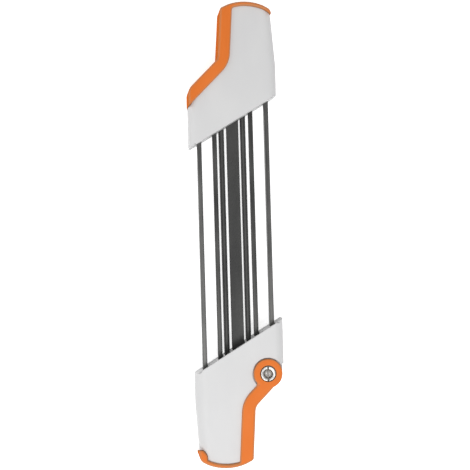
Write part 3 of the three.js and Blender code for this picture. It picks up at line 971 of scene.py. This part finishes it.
@dataclass
class Shells:
    """One handle's pair of pale shells, parted at mid depth.

    A bar's and the flat file's hole is given by its half width, its floor and its ceiling, to which a bar
    adds its own height. A round file's hole is given by its height and radius. The crease is given by its
    depth and how far below the front face it starts and ends, and the slab's steps by its largest turn in
    degrees and its rings.
    """

    sizes: Sizes
    plan: HandlePlan
    side: Side
    end_strip: float = 3.1
    strip_gap: float = 0.12
    side_step: float = 6.5
    round_across: float = 7.2
    round_down: float = 6.0
    slab_steps: tuple[float, int] = (0.7, 14)
    screws: tuple[Pair, ...] = ((24.0, 158.0), (26.6, 130.0), (-27.3, 93.0))
    boss_radius: float = 3.7
    screw_radius: float = 1.6
    screw_head_radius: float = 2.9
    screw_seat: float = 4.6
    screw_end: float = 19.9
    bar_hole: Triple = (2.0, 11.2, 11.8)
    bar_pass: float = 15.8
    round_hole: Pair = (10.15, 2.55)
    flat_hole: Triple = (4.95, 10.55, 14.15)
    hole_run: Pair = (30.0, 40.0)
    slot_floor: float = 12.0
    wall_pass: float = 5.0
    corner_radius: float = 1.2
    lean: float = 0.5
    chamfer: float = 5.5
    chamfer_wall: float = 1.5
    crease: Triple = (0.9, 1.9, 0.5)

    @property
    def lower(self) -> bool:
        """Whether these are the lower handle's shells."""
        return self.side is Side.LOWER

    def outline(self) -> Outline:
        """The pale plastic's outline in plan, under the orange edge.

        Returns:
            The outline. The upper one's step at the foot follows the cover's 45 degree end.
        """
        s = self.sizes
        under = s.web + s.clearance
        amounts = {Edge.GRIP: under, Edge.DIAGONAL: under, Edge.FLANK: under, Edge.END: self.strip_gap}
        if self.lower:
            amounts[Edge.FLANK] = s.pivot[0] - s.shell_corner + s.half_width
            step = replace(self.plan, foot_y=s.pivot[1] - self.side_step)
            return step.outline(self.end_strip).inset(amounts)
        made = self.plan.outline(self.end_strip).inset(amounts).corners
        drop = s.clearance * math.sqrt(2)
        return Outline(tuple(
            replace(c, y=c.y + c.x + s.half_width - drop) if c.edge is Edge.FOOT else c for c in made))

    def disc(self, radius: float, low: float, high: float) -> Skin:
        """A disc about the lever's pivot."""
        return post(*self.sizes.pivot, low, high, radius, 128)

    def slab(self) -> Skin:
        """The whole handle's rounded slab, which gives the long sides their soft edges.

        Returns:
            The slab's skin.
        """
        s, p, (turn, rings) = self.sizes, self.plan, self.slab_steps
        w, top = s.half_width, s.half_length + s.overrun
        run = (w - p.far_corner[0]) / (p.far_corner[1] - p.taper_start)
        ends = Corner(w - (top - p.taper_start) * run, top, Edge.END), Corner(-w, top, Edge.FLANK)
        plan = Outline((*p.side_corners(), *ends)).rounded(math.radians(turn))
        return soft_slab(plan, s.shell_rear, s.shell_front, self.round_across, self.round_down, rings)

    def along_edge(self, section: Sequence[Pair], ends: Pair) -> Skin:
        """A section carried along the inner edge's slope.

        Args:
            section: Its corners, each a distance into the handle and a height.
            ends: Where it starts and ends along the edge, from the flank's side on.

        Returns:
            The solid's skin.
        """
        s = self.sizes
        angle = math.atan(s.slope)
        along = np.array([math.cos(angle), math.sin(angle)])
        starts = [np.array([-s.half_width, s.edge_near]) + along * reach for reach in ends]
        return loft(np.array([[(*(spot + left_of(along) * d), z) for d, z in section] for spot in starts]))

    def past_face(self, distance: float, low: float = -10.0, high: float = 40.0) -> Skin:
        """All that lies on the bars' side of the leaning inner face, moved into the handle by a distance.

        The face's section is a line that runs back by the lean from front to rear.

        Args:
            distance: How far into the handle the face is moved.
            low: Where the solid starts.
            high: Where the solid ends.

        Returns:
            The solid's skin.
        """
        s, away, ends = self.sizes, -200.0, (-150.0, 250.0)
        lean = self.lean / (s.shell_front - s.shell_rear)
        rear, front = (distance - (s.shell_front - z) * lean for z in (low, high))
        return self.along_edge(((away, low), (rear, low), (front, high), (away, high)), ends)

    def rear_chamfer(self, size: float) -> Skin:
        """A triangular prism that takes the rear corner off the inner face.

        Args:
            size: How far in and how far up it reaches.

        Returns:
            The prism's skin.
        """
        s, more = self.sizes, self.sizes.just_past
        low, ends = s.shell_rear - more, (-40.0, 140.0)
        return self.along_edge(((-more, s.shell_rear + size + more), (size + more, low), (-more, low)), ends)

    def hollow(self) -> Skin:
        """The room inside both shells, open along the grip edge and the end.

        Returns:
            The room's skin, without the screws' bosses.
        """
        s = self.sizes
        amounts = {Edge.BASE: 0.0, Edge.GRIP: -s.overrun, Edge.DIAGONAL: -s.overrun, Edge.END: -s.overrun}
        room = self.outline().open_ended(s.half_length + s.overrun).inset(amounts, s.wall)
        plan = np.array([c.spot for c in room.corners])
        work = Workpiece("hollow", prism(plan, s.shell_rear + s.wall, s.shell_front - s.wall))
        work.cut(self.past_face(s.wall))
        if self.lower:
            work.cut(self.rear_chamfer(self.chamfer + self.chamfer_wall * s.wall))
        work.cut(*(post(x, y, s.shell_rear, s.shell_front, self.boss_radius, 48) for x, y in self.screws))
        if self.lower:
            work.cut(self.disc(s.shell_corner, s.shell_rear, s.shell_front))
        return work.skin()

    def bar_holes(self) -> list[Skin]:
        """The holes that the bars and files pass through, in this handle's frame.

        Returns:
            A skin for each hole.
        """
        s = self.sizes
        low, high = s.edge_near - self.hole_run[0], s.half_length + self.hole_run[1]
        made = []
        w, floor, ceiling = self.bar_hole
        for x, h in both_sides([s.outer_bar, s.inner_bar]):
            made.append(block((x - w, low, floor), (x + w, s.inner_face_y(x) + self.bar_pass, ceiling + h)))
        for x in (-s.round_file_x, s.round_file_x):
            made.append(carried(polar(x, *self.round_hole, round_turn(48)), (low, high)))
        w, floor, ceiling = self.flat_hole
        return [*made, block((-w, low, floor), (w, high, ceiling))]

    def slots(self) -> list[Skin]:
        """The slots that open the lower inner face above each bar and file, up to the front wall.

        Returns:
            A skin for each slot.
        """
        s = self.sizes
        low, top, w = s.edge_near - self.hole_run[0], s.shell_front - s.wall, self.bar_hole[0]
        side = [(s.outer_bar[0], w), (s.inner_bar[0], w), (s.round_file_x, self.round_hole[1])]
        return [block((x - w, low, self.slot_floor), (x + w, s.inner_face_y(x + w) + self.wall_pass, top))
                for x, w in both_sides(side, [(0.0, self.flat_hole[0])])]

    def far_corner_cut(self) -> Skin:
        """What rounds the corner between the inner face and the long side, in plan.

        Returns:
            The cutter's skin.
        """
        s, side, out, back, low, high = self.sizes, 40.0, 6.0, 8.0, -5.0, 35.0
        rearmost = self.lean / math.cos(math.atan(s.slope))
        middle = np.array([0.0, s.edge_near + s.edge_rise / 2 - rearmost])
        corner = np.array([s.half_width, s.edge_near + s.edge_rise - rearmost])
        arc = fillet(middle, corner, corner + np.array([0.0, side]), self.corner_radius, 14)
        (x, y), (u, v) = arc[0], arc[-1]
        return prism(np.array([*arc, (u + out, v), (u + out, y - back), (x, y - back)]), low, high)

    def whole(self) -> Workpiece:
        """Both shells in one, before they are parted.

        Returns:
            The workpiece.
        """
        s = self.sizes
        rear, front = s.shell_rear, s.shell_front
        work = Workpiece(f"{self.side.value}_shells", prism(self.outline().rounded(), rear, front))
        if self.lower:
            hook = HookRoom(s)
            room = prism(hook.plan(-s.clearance), rear - s.just_past, front + s.just_past)
            work.keep(Workpiece("hook_room", room).join(hook.past_tip(s.clearance)).skin())
            work.join(self.disc(s.shell_corner, rear, front))
        work.cut(self.hollow()).keep(self.slab()).cut(self.past_face(0.0), self.far_corner_cut())
        if self.lower:
            work.cut(self.rear_chamfer(self.chamfer))
        depth, low, high = self.crease
        work.cut(self.past_face(depth, front - low, front - high))
        for x, y in self.screws:
            work.cut(post(x, y, rear - s.past, self.screw_seat, self.screw_head_radius, 48))
            work.cut(post(x, y, self.screw_seat - s.clearance, self.screw_end, self.screw_radius, 32))
        work.cut(*self.pivot_room(), *self.bar_holes(), *(self.slots() if self.lower else []))
        return work

    def pivot_room(self) -> list[Skin]:
        """The room for the lever's two eyes and the bush between them.

        Returns:
            Its discs in the lower shells, and none in the upper ones.
        """
        s = self.sizes
        room, inset = s.shell_corner + s.clearance, s.eye_thickness + s.clearance
        parts = ((room, -s.past, inset), (room, s.depth - s.eye_thickness - s.clearance, s.depth + s.past),
                 (s.bush_radius + s.clearance, -s.past, s.depth + s.past))
        return [self.disc(*part) for part in parts] if self.lower else []

    def build(self, material: Material) -> None:
        """Makes the front and rear shells and dresses them.

        Args:
            material: The pale plastic.
        """
        whole, middle, gap = self.whole().skin(), self.sizes.depth / 2, self.sizes.clearance / 2
        far, rear_end, front_end = 400.0, -30.0, 60.0
        for name, low, high in (("front", middle + gap, front_end), ("rear", rear_end, middle - gap)):
            half = Workpiece(f"{self.side.value}_{name}_skin", whole)
            half.keep(block((-far, -far, low), (far, far, high)))
            if self.lower:
                half.half_turned()
            half.dress(material, "handle_plastic", "guide_frame", f"{self.side.value}_{name}_shell")


@dataclass
class EdgeMoulding:
    """What the two orange mouldings share: a rounded slab of the handle, less the shell and its field."""

    sizes: Sizes
    plan: HandlePlan
    shells: Shells
    band: float
    end_strip: Triple
    rounding: float = 2.3
    softness: float = 1.7
    face_gap: float = 0.08
    radii: Pair = (2.6, 21.0)

    def outer(self) -> HandlePlan:
        """The plan that the moulding's outer side follows."""
        return self.plan

    def slab(self) -> Skin:
        """The whole handle with its rounded outer edge."""
        plan = self.outer().outline().rounded(math.radians(4))
        return soft_slab(plan, 0.0, self.sizes.depth, self.rounding, self.rounding, 8)

    def shell_room(self) -> Skin:
        """The room between the flanges, which the shell fills.

        Returns:
            The room's skin.
        """
        s = self.sizes
        room = self.shells.outline().inset({Edge.END: -self.shells.strip_gap}, -s.clearance)
        return prism(room.rounded(), s.shell_rear - self.face_gap, s.shell_front + self.face_gap)

    def cutter(self, plan: np.ndarray, past: float) -> Skin:
        """A cutter right through that leaves rounded edges at the flanges."""
        return soft_slab(plan, 0.0, self.sizes.depth, -self.softness, self.softness, 6, past)

    def field(self) -> Skin:
        """What is cut away where the pale face shows."""
        return self.cutter(self.plan.field(self.band, self.end_strip, self.radii), self.sizes.overrun)


@dataclass
class GripCover(EdgeMoulding):
    """The upper handle's orange edge, from the flank round the grip to the far corner of the end."""

    band: float = 9.0
    end_strip: Triple = (3.0, 3.2, 4.1)

    def build(self, material: Material) -> None:
        """Makes the cover and dresses it."""
        work = Workpiece("grip_cover_skin", self.slab()).cut(self.shell_room(), self.field())
        work.dress(material, "orange_plastic", "guide_frame", "upper_grip_cover")


@dataclass
class LockingLever(EdgeMoulding):
    """The lower handle's orange lever: arm, end strip, hook, two eyes and the finger behind the files."""

    band: float = 10.3
    end_strip: Triple = (4.5, 3.1, 3.1)
    radii: Pair = (1.6, 22.0)
    head_recess: float = 6.1
    recess_depth: float = 2.1
    eye_lip: float = 0.35
    eye_rim: float = 1.1
    eye_fillet: float = 2.6
    web_inset: float = 0.6
    web_root: float = 3.0
    hook_corner: Pair = (32.4, 168.9)
    hook_radius: float = 6.5
    hook_start: float = 146.0
    finger_low: Triple = (-10.6, 127.6, 7.2)
    finger_high: Triple = (11.3, 131.0, 14.55)

    def outer(self) -> HandlePlan:
        """The handle's plan, wider about the hook, whose tip stands proud of the shell's side."""
        return replace(self.plan, far_corner=self.hook_corner, far_radius=self.hook_radius,
                       taper_start=self.hook_start)

    def arm_side(self) -> Skin:
        """All past the line through the pivot, square to the diagonal.

        Returns:
            The solid's skin.
        """
        (x, y), reach, past = self.sizes.pivot, 2 * self.sizes.half_length, self.sizes.overrun
        plan = np.array([[x, y], [x + reach, y], [x + reach, y + reach], [x - reach, y + reach]])
        return prism(plan, -past, self.sizes.depth + past)

    def hook_field(self) -> Skin:
        """The pale field, stopped by the hook's inner side."""
        room = self.cutter(HookRoom(self.sizes).plan(0.0), 2 * self.sizes.overrun)
        return Workpiece("field", self.field()).keep(room).skin()

    def lever_room(self) -> Skin:
        """The room between the flanges, less what the hook's head fills."""
        hook = prism(HookRoom(self.sizes).plan(0.0), 0.0, self.sizes.depth)
        return Workpiece("room", self.shell_room()).keep(hook).skin()

    def eye_web(self, low: float, high: float) -> Skin:
        """What fills the corner between the eye's rim and the arm's inner edge with a hollow fillet.

        The fillet's circle touches the rim from outside and the arm's edge from the field's side.

        Args:
            low: Where it starts in height.
            high: Where it ends.

        Returns:
            The filling's skin.
        """
        pivot, r, f = np.array(self.sizes.pivot), self.sizes.eye_radius, self.eye_fillet
        d, inward = self.plan.diagonal, -left_of(self.plan.diagonal)
        offset = float((self.plan.shoulder_spot - pivot) @ inward) + self.band
        centre = pivot + inward * (offset + f) + d * math.sqrt((r + f) ** 2 - (offset + f) ** 2)
        on_rim, on_edge = pivot + (centre - pivot) * r / (r + f), centre - inward * f
        start, end = (math.atan2(y, x) for x, y in (on_edge - centre, on_rim - centre))
        sweep = (end - start + math.pi) % (2 * math.pi) - math.pi
        arc = polar(*centre, f, start + np.linspace(0, sweep, 12))
        root = inward * self.web_root
        return prism(np.vstack([arc, on_rim - root, on_edge - root]), low, high)

    def eye(self, flip: bool) -> Skin:
        """One eye: a thick washer with a rounded rim and a stepped recess for the pivot's head.

        Args:
            flip: Whether it is the rear eye.

        Returns:
            The ring's skin.
        """
        s = self.sizes
        bore, out, top = s.bush_radius + s.clearance, s.eye_radius, s.depth
        low, floor = top - s.eye_thickness, top - self.recess_depth
        recess, lip, rim = self.head_recess, self.eye_lip, self.eye_rim
        a = np.linspace(0, math.pi / 2, 9)
        profile = [(bore, low), (bore, floor), (recess, floor), (recess, top - lip)]
        profile += [(recess + lip - lip * math.cos(t), top - lip + lip * math.sin(t)) for t in a[1:]]
        profile += [(out - rim + rim * math.sin(t), top - rim + rim * math.cos(t)) for t in a]
        profile += [(out, low)]
        return turned_ring(*s.pivot, [(r, s.depth - z) for r, z in profile] if flip else profile)

    def build(self, material: Material) -> None:
        """Makes the lever and dresses it.

        Args:
            material: The orange plastic.
        """
        s, soft = self.sizes, self.web_inset
        work = Workpiece("locking_lever_skin", self.slab()).keep(self.arm_side())
        work.cut(self.lever_room(), self.hook_field(), HookRoom(s).past_tip(0.0))
        work.cut(post(*s.pivot, s.flange, s.depth - s.flange, s.shell_corner + s.clearance, 128))
        work.join(self.eye_web(soft, s.flange), self.eye_web(s.depth - s.flange, s.depth - soft))
        work.cut(post(*s.pivot, -s.past, s.depth + s.past, self.head_recess - 0.05))
        work.join(self.eye(False), self.eye(True), block(self.finger_low, self.finger_high))
        work.half_turned().dress(material, "orange_plastic", "lever", "locking_lever")


@dataclass
class PivotScrew:
    """The lever's slotted pivot screw: bright rim, shallow dish and a slot right across."""

    sizes: Sizes
    head_radius: float = 5.8
    head_thickness: float = 1.6
    sunk: float = 0.2
    rim: float = 0.5
    dish_radius: float = 3.4
    dish_depth: float = 1.25
    slot_width: float = 1.2
    slot_depth: float = 1.45
    slot_past: float = 3.0
    shank_radius: float = 2.2
    dish_lip: tuple[Pair, ...] = ((0.3, 0.0), (0.1, 0.08), (0.0, 0.3))
    dish_foot: tuple[Pair, ...] = ((0.1, 0.25), (0.35, 0.0))
    dish_middle: float = 0.1

    def build(self, material: Material) -> None:
        """Makes the screw and dresses it.

        Args:
            material: The plating.
        """
        (x, y), top = self.sizes.pivot, self.sizes.depth - self.sunk
        r, rim, d = self.head_radius, self.rim, self.dish_radius
        low, floor = top - self.head_thickness, top - self.dish_depth
        profile = [(self.shank_radius, 2 * self.sunk), (self.shank_radius, low), (r, low)]
        profile += [(r - rim + rim * math.cos(t), top - rim + rim * math.sin(t))
                    for t in np.linspace(0, math.pi / 2, 7)]
        profile += [(d + out, top - down) for out, down in self.dish_lip]
        profile += [(d - inside, floor + up) for inside, up in self.dish_foot]
        profile += [(self.dish_middle, floor)]
        half, end = self.slot_width / 2, r + self.sizes.just_past
        slot = block((x - half, y - end, top - self.slot_depth), (x + half, y + end, top + self.slot_past))
        work = Workpiece("pivot_screw_skin", turned_stack(x, y, profile)).cut(slot).half_turned()
        work.dress(material, "fastener_steel", "guide_frame", "pivot_screw")


@dataclass
class GuideBar:
    """A drawn guide bar: a rounded rectangle carried along its length."""

    sizes: Sizes
    name: str
    x: float
    height: float
    width: float = 3.4
    underside: float = 11.5
    embed: float = 15.5
    corner: float = 0.55

    def section(self) -> np.ndarray:
        """The bar's section, with its four corners as arcs.

        Returns:
            An array of rows of x and z.
        """
        w, h = self.width / 2, self.height
        spots = np.array([(-w, 0.0), (w, 0.0), (w, h), (-w, h)])
        parts = [fillet(spots[i - 1], spots[i], spots[(i + 1) % 4], self.corner, 7) for i in range(4)]
        return np.vstack(parts) + np.array([self.x, self.underside])

    def build(self, material: Material) -> None:
        """Makes the bar and dresses it.

        Args:
            material: The bar's steel.
        """
        s = self.sizes
        ends = (-s.inner_face_y(-self.x) - self.embed, s.inner_face_y(self.x) + self.embed)
        work = Workpiece(f"{self.name}_skin", carried(self.section(), np.linspace(*ends, 41)))
        work.dress(material, "guide_steel", "guide_frame", self.name)


@dataclass(kw_only=True)
class FileBlank:
    """What the three files share: their length, tang and saw teeth, which rise slowly and fall quickly."""

    y_from: float = -125.0
    body_end: float = 92.0
    tang_end: float = 112.0
    tang_rings: int = 12
    tang_loss: float = 0.45
    rise: float = 0.72
    sharp: float = 60.0

    def places(self, step: float) -> np.ndarray:
        """Places along the file, a step apart on its body and fewer on its tang."""
        tang = np.linspace(self.body_end, self.tang_end, self.tang_rings)
        return np.concatenate([np.arange(self.y_from, self.body_end, step), tang])

    def taper(self, y: np.ndarray) -> np.ndarray:
        """How much of its width the file has: all on its body, and evenly less along its tang."""
        share = np.clip((y - self.body_end) / (self.tang_end - self.body_end), 0.0, 1.0)
        return 1 - self.tang_loss * share

    def cut_share(self, y: np.ndarray, fade: float) -> np.ndarray:
        """How much of the teeth's depth there is: all up to a length before the tang, and none on it."""
        return np.clip((self.body_end - y) / fade, 0.0, 1.0)

    def saw(self, turns: np.ndarray) -> np.ndarray:
        """How deep a saw tooth is cut, from 1 to 0 and back for each whole turn."""
        part = turns - np.floor(turns)
        return 1 - np.minimum(part / self.rise, (1 - part) / (1 - self.rise))


@dataclass
class RoundFile(FileBlank):
    """A round chainsaw file with spiral teeth and a tapered tang."""

    name: str
    body: str
    x: float
    z: float = 10.15
    radius: float = 2.24
    pitch: float = 0.9
    tooth: float = 0.13
    turns: int = 3
    counter_pitch: float = 1.3
    counter_depth: float = 0.4
    fade: float = 4.0
    step: float = 0.18
    sides: int = 32
    end_share: float = 0.86

    def radius_at(self, angle: np.ndarray, y: np.ndarray) -> np.ndarray:
        """The file's radius at an angle and a place along it.

        The main cut is a saw tooth whose phase rises along the file and with the angle, so that it winds
        round in whole turns. A lighter cut winds the other way. On the tang both fade and the radius tapers.

        Args:
            angle: Angles about the file's axis.
            y: Places along it.

        Returns:
            The radii.
        """
        wound = angle * self.turns / (2 * math.pi)
        main = self.saw(y / self.pitch + wound)
        other = self.saw(y / (self.pitch * self.counter_pitch) - wound)
        depth = self.tooth * main + self.counter_depth * self.tooth * other
        return self.radius * self.taper(y) - depth * self.cut_share(y, self.fade)

    def build(self, material: Material) -> None:
        """Makes the file and dresses it.

        Args:
            material: The file's steel.
        """
        y, angle = np.meshgrid(self.places(self.step), round_turn(self.sides), indexing="ij")
        r = self.radius_at(angle, y)
        r[0] *= self.end_share
        rings = np.stack([self.x + r * np.cos(angle), y, self.z + r * np.sin(angle)], -1)
        work = Workpiece(f"{self.name}_skin", loft(rings))
        work.dress(material, "file_steel", self.body, self.name, sharp=self.sharp)


@dataclass
class FlatFile(FileBlank):
    """The flat depth file: crossed cuts on its faces, smooth edges and a tapered tang."""

    width: float = 9.3
    height: float = 3.0
    underside: float = 10.85
    edge: float = 0.3
    pitch: float = 0.95
    tooth: float = 0.12
    leans: Pair = (25.0, 45.0)
    second_pitch: float = 1.25
    second_depth: float = 0.5
    fade: float = 5.0
    step: float = 0.22
    columns: int = 27

    def relief(self, x: np.ndarray, y: np.ndarray) -> np.ndarray:
        """How deep the cuts are at a place on a face.

        Two families of saw teeth cross at 65 and 45 degrees to the file's length.

        Args:
            x: Places across the file.
            y: Places along it.

        Returns:
            The depths.
        """
        one, other = (math.tan(math.radians(lean)) for lean in self.leans)
        first = self.saw((y + x * one) / self.pitch)
        second = self.saw((y - x * other) / (self.pitch * self.second_pitch))
        return (self.tooth * first + self.second_depth * self.tooth * second) * self.cut_share(y, self.fade)

    def build(self, material: Material) -> None:
        """Makes the file and dresses it.

        A ring runs along the underside, up one edge, back along the top and down the other edge.

        Args:
            material: The file's steel.
        """
        y, many, half = self.places(self.step), self.columns, self.width / 2
        soft, edge = self.edge / half, self.edge / self.height
        face = np.clip(np.linspace(-1, 1, many), -1 + soft, 1 - soft)
        across = np.concatenate([face, [1.0, 1.0], face[::-1], [-1.0, -1.0]])
        high = np.concatenate([np.zeros(many), [edge, 1 - edge], np.ones(many), [1 - edge, edge]])
        on_face = np.tile([*np.ones(many), 0.0, 0.0], 2)
        x = across[None, :] * half * self.taper(y)[:, None]
        rows = np.repeat(y[:, None], len(across), 1)
        cut = self.relief(x, rows) * on_face
        z = self.underside + high[None, :] * self.height + cut * np.where(high < 0.5, 1.0, -1.0)
        work = Workpiece("flat_file_skin", loft(np.stack([x, rows, z], -1)))
        work.dress(material, "file_steel", "guide_frame", "flat_file", sharp=self.sharp)


@dataclass(frozen=True)
class Lamp:
    """A soft square lamp: its place, what it faces and its side, all in metres, and its power in watts."""

    name: str
    place: Triple
    aim: Triple
    size: float
    power: float

    def build(self) -> None:
        """Hangs the lamp."""
        light = bpy.data.lights.new(self.name, "AREA")
        light.shape, light.size, light.energy = "SQUARE", self.size, self.power
        item = placed(self.name, light)
        item.location = self.place
        item.rotation_euler = (Vector(self.aim) - Vector(self.place)).to_track_quat("-Z", "Y").to_euler()


@dataclass
class Studio:
    """The floor, the world, the camera and the lamps: a key over the lower end, fills and one overhead."""

    floor_half: float = 4.0
    floor_gap: float = 0.0002
    distance: float = 750.0
    from_left: float = 6.5
    from_below: float = 1.0
    roll: float = -1.6
    view_width: float = 357.4
    aim: Triple = (-0.45, -0.9, 16.0)
    sensor: float = 36.0
    floor_colour: Triple = (0.93, 0.93, 0.93)
    glow: float = 0.66
    world: float = 0.46
    lamps: tuple[Lamp, ...] = (
        Lamp("key", (-0.2, -0.8, 1.25), (0.0, -0.03, 0.0), 0.45, 8.5),
        Lamp("fill", (-1.1, 0.25, 0.60), (0.0, 0.0, 0.0), 0.8, 2.8),
        Lamp("side", (1.1, 0.35, 0.70), (0.0, 0.05, 0.0), 0.8, 1.8),
        Lamp("overhead", (0.05, -0.5, 1.35), (0.0, -0.1, 0.0), 0.6, 3.0))

    def floor(self) -> None:
        """A pale floor that keeps the object's shadow, with part of its white from its own glow."""
        half, z = self.floor_half, -self.floor_gap
        mesh = bpy.data.meshes.new("floor")
        mesh.from_pydata([(-half, -half, z), (half, -half, z), (half, half, z), (-half, half, z)], [],
                         [(0, 1, 2, 3)])
        item = placed("floor", mesh)
        r = Recipe("studio_floor", self.floor_colour, 0.9)
        seen = r.node("LightPath", "Is Camera Ray")
        for ray in ("Is Glossy Ray", "Is Transmission Ray"):
            seen = r.math("MAXIMUM", seen, r.node("LightPath", ray))
        shade = tuple(c * 0.985 for c in self.floor_colour)
        r.set({"Specular IOR Level": 0.1, "Emission Color": (1.0, 1.0, 1.0),
               "Emission Strength": r.math("MULTIPLY", seen, self.glow),
               "Base Color": r.mix(r.noise(3.0), self.floor_colour, shade)})
        mesh.materials.append(r.material)

    def sky(self) -> None:
        """A plain pale world, white where the camera sees it."""
        world = bpy.data.worlds.new("studio_world")
        world.use_nodes = True
        back = world.node_tree.nodes["Background"]
        back.inputs["Color"].default_value = (1.0, 1.0, 1.0, 1.0)
        links, nodes = world.node_tree.links, world.node_tree.nodes
        strength = nodes.new("ShaderNodeMath")
        strength.operation = "MAXIMUM"
        strength.inputs[1].default_value = self.world
        links.new(nodes.new("ShaderNodeLightPath").outputs["Is Camera Ray"], strength.inputs[0])
        links.new(strength.outputs[0], back.inputs["Strength"])
        bpy.context.scene.world = world

    def camera(self) -> None:
        """The camera, left of the object's middle and turned about its view to the photograph's tilt."""
        side, below = math.radians(self.from_left), math.radians(self.from_below)
        away = Vector((-math.sin(side) * math.cos(below), -math.sin(below), math.cos(side) * math.cos(below)))
        data = bpy.data.cameras.new("camera")
        data.sensor_width, data.lens = self.sensor, self.sensor * self.distance / self.view_width
        data.clip_start, data.clip_end = 0.01, 20.0
        back = away.normalized()
        right = Vector((0.0, 1.0, 0.0)).cross(back).normalized()
        turn = Matrix((right, back.cross(right), back)).transposed().to_4x4()
        place = Matrix.Translation(Vector(self.aim) * MM + away * self.distance * MM)
        item = placed("camera", data)
        item.matrix_world = place @ turn @ Matrix.Rotation(math.radians(self.roll), 4, "Z")
        bpy.context.scene.camera = item

    def build(self) -> None:
        """Sets the studio up."""
        self.camera()
        self.floor()
        for lamp in self.lamps:
            lamp.build()
        self.sky()
        bpy.context.scene.view_settings.view_transform = "Standard"


@dataclass
class Finishes:
    """The guide's finishes."""

    pale: MouldedPlastic = MouldedPlastic("pale_plastic", (0.66, 0.66, 0.665), (0.70, 0.70, 0.70), 0.46,
                                          (0.74, 0.74, 0.74), 0.35, 0.00004, 0.0005)
    # The orange's edge colour is its painted shade, on its rims, rounded edges, ends and recesses.
    orange: MouldedPlastic = MouldedPlastic("orange_plastic", (0.74, 0.178, 0.028), (0.80, 0.205, 0.040), 0.5,
                                            (0.56, 0.25, 0.11), 0.85, 0.00003, 0.0008, 0.1, 0.9, 0.9)
    black: MouldedPlastic = MouldedPlastic("black_plastic", (0.014, 0.014, 0.015), (0.02, 0.02, 0.02), 0.55,
                                           (0.05, 0.05, 0.05), 0.3, 0.00004, 0.0004)
    outer_bar: DrawnSteel = DrawnSteel("guide_bar_steel", (0.088, 0.088, 0.088), (0.175, 0.175, 0.17), 0.4)
    inner_bar: DrawnSteel = DrawnSteel("inner_guide_steel", (0.052, 0.052, 0.052), (0.110, 0.110, 0.107), 0.4)
    round_file: FileSteel = FileSteel("round_file_steel", (0.050, 0.050, 0.050), (0.098, 0.098, 0.095), 0.48)
    flat_file: FileSteel = FileSteel("file_steel", (0.036, 0.036, 0.036), (0.072, 0.072, 0.070), 0.5)
    plate: PlatedSteel = PlatedSteel("zinc_plate", (0.58, 0.57, 0.55), (0.42, 0.41, 0.40), 0.32)
    rubber: PadRubber = PadRubber("pad_rubber", (0.018, 0.018, 0.018), (0.05, 0.05, 0.048), 0.85)


def main() -> None:
    """Builds the guide's pieces in order, then the studio."""
    logging.basicConfig(level=logging.INFO, format="%(message)s")
    sizes, finishes = Sizes(), Finishes()
    pale, orange, plate = finishes.pale.material(), finishes.orange.material(), finishes.plate.material()
    upper = HandlePlan(sizes)
    lower = HandlePlan(sizes, neck=(10.6, 130.3), neck_radius=9.0, grip_end=(8.0, 169.9),
                       far_corner=(31.2, 169.9), end_peak=12.2)
    upper_shells = Shells(sizes, upper, Side.UPPER)
    lower_shells = Shells(sizes, lower, Side.LOWER, corner_radius=4.5)
    upper_shells.build(pale)
    lower_shells.build(pale)
    GripCover(sizes, upper, upper_shells).build(orange)
    LockingLever(sizes, lower, lower_shells).build(orange)
    PivotScrew(sizes).build(plate)
    bars = (("outer", *sizes.outer_bar, finishes.outer_bar.material()),
            ("inner", *sizes.inner_bar, finishes.inner_bar.material()))
    round_file = finishes.round_file.material()
    for side, turn in (("left", -1), ("right", 1)):
        for name, x, height, steel in bars:
            GuideBar(sizes, f"{name}_guide_{side}", turn * x, height).build(steel)
        RoundFile(f"round_file_{side}", f"{side}_file", turn * sizes.round_file_x).build(round_file)
    FlatFile().build(finishes.flat_file.material())
    black = finishes.black.material()
    for node in ("upper_rod_block", "lower_rod_block"):
        redress(node, black)
    redress("file_stop_pad", finishes.rubber.material())
    small = ["pivot_bush", "pivot_nut"]
    small += [f"{side.value}_shell_screw_{i}" for side in Side for i in (1, 2, 3)]
    small += [f"{side.value}_bar_pin_{i}" for side in Side for i in (1, 2, 3, 4)]
    for node in small:
        redress(node, plate)
    Studio().build()
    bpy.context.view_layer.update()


if __name__ == "__main__":
    main()
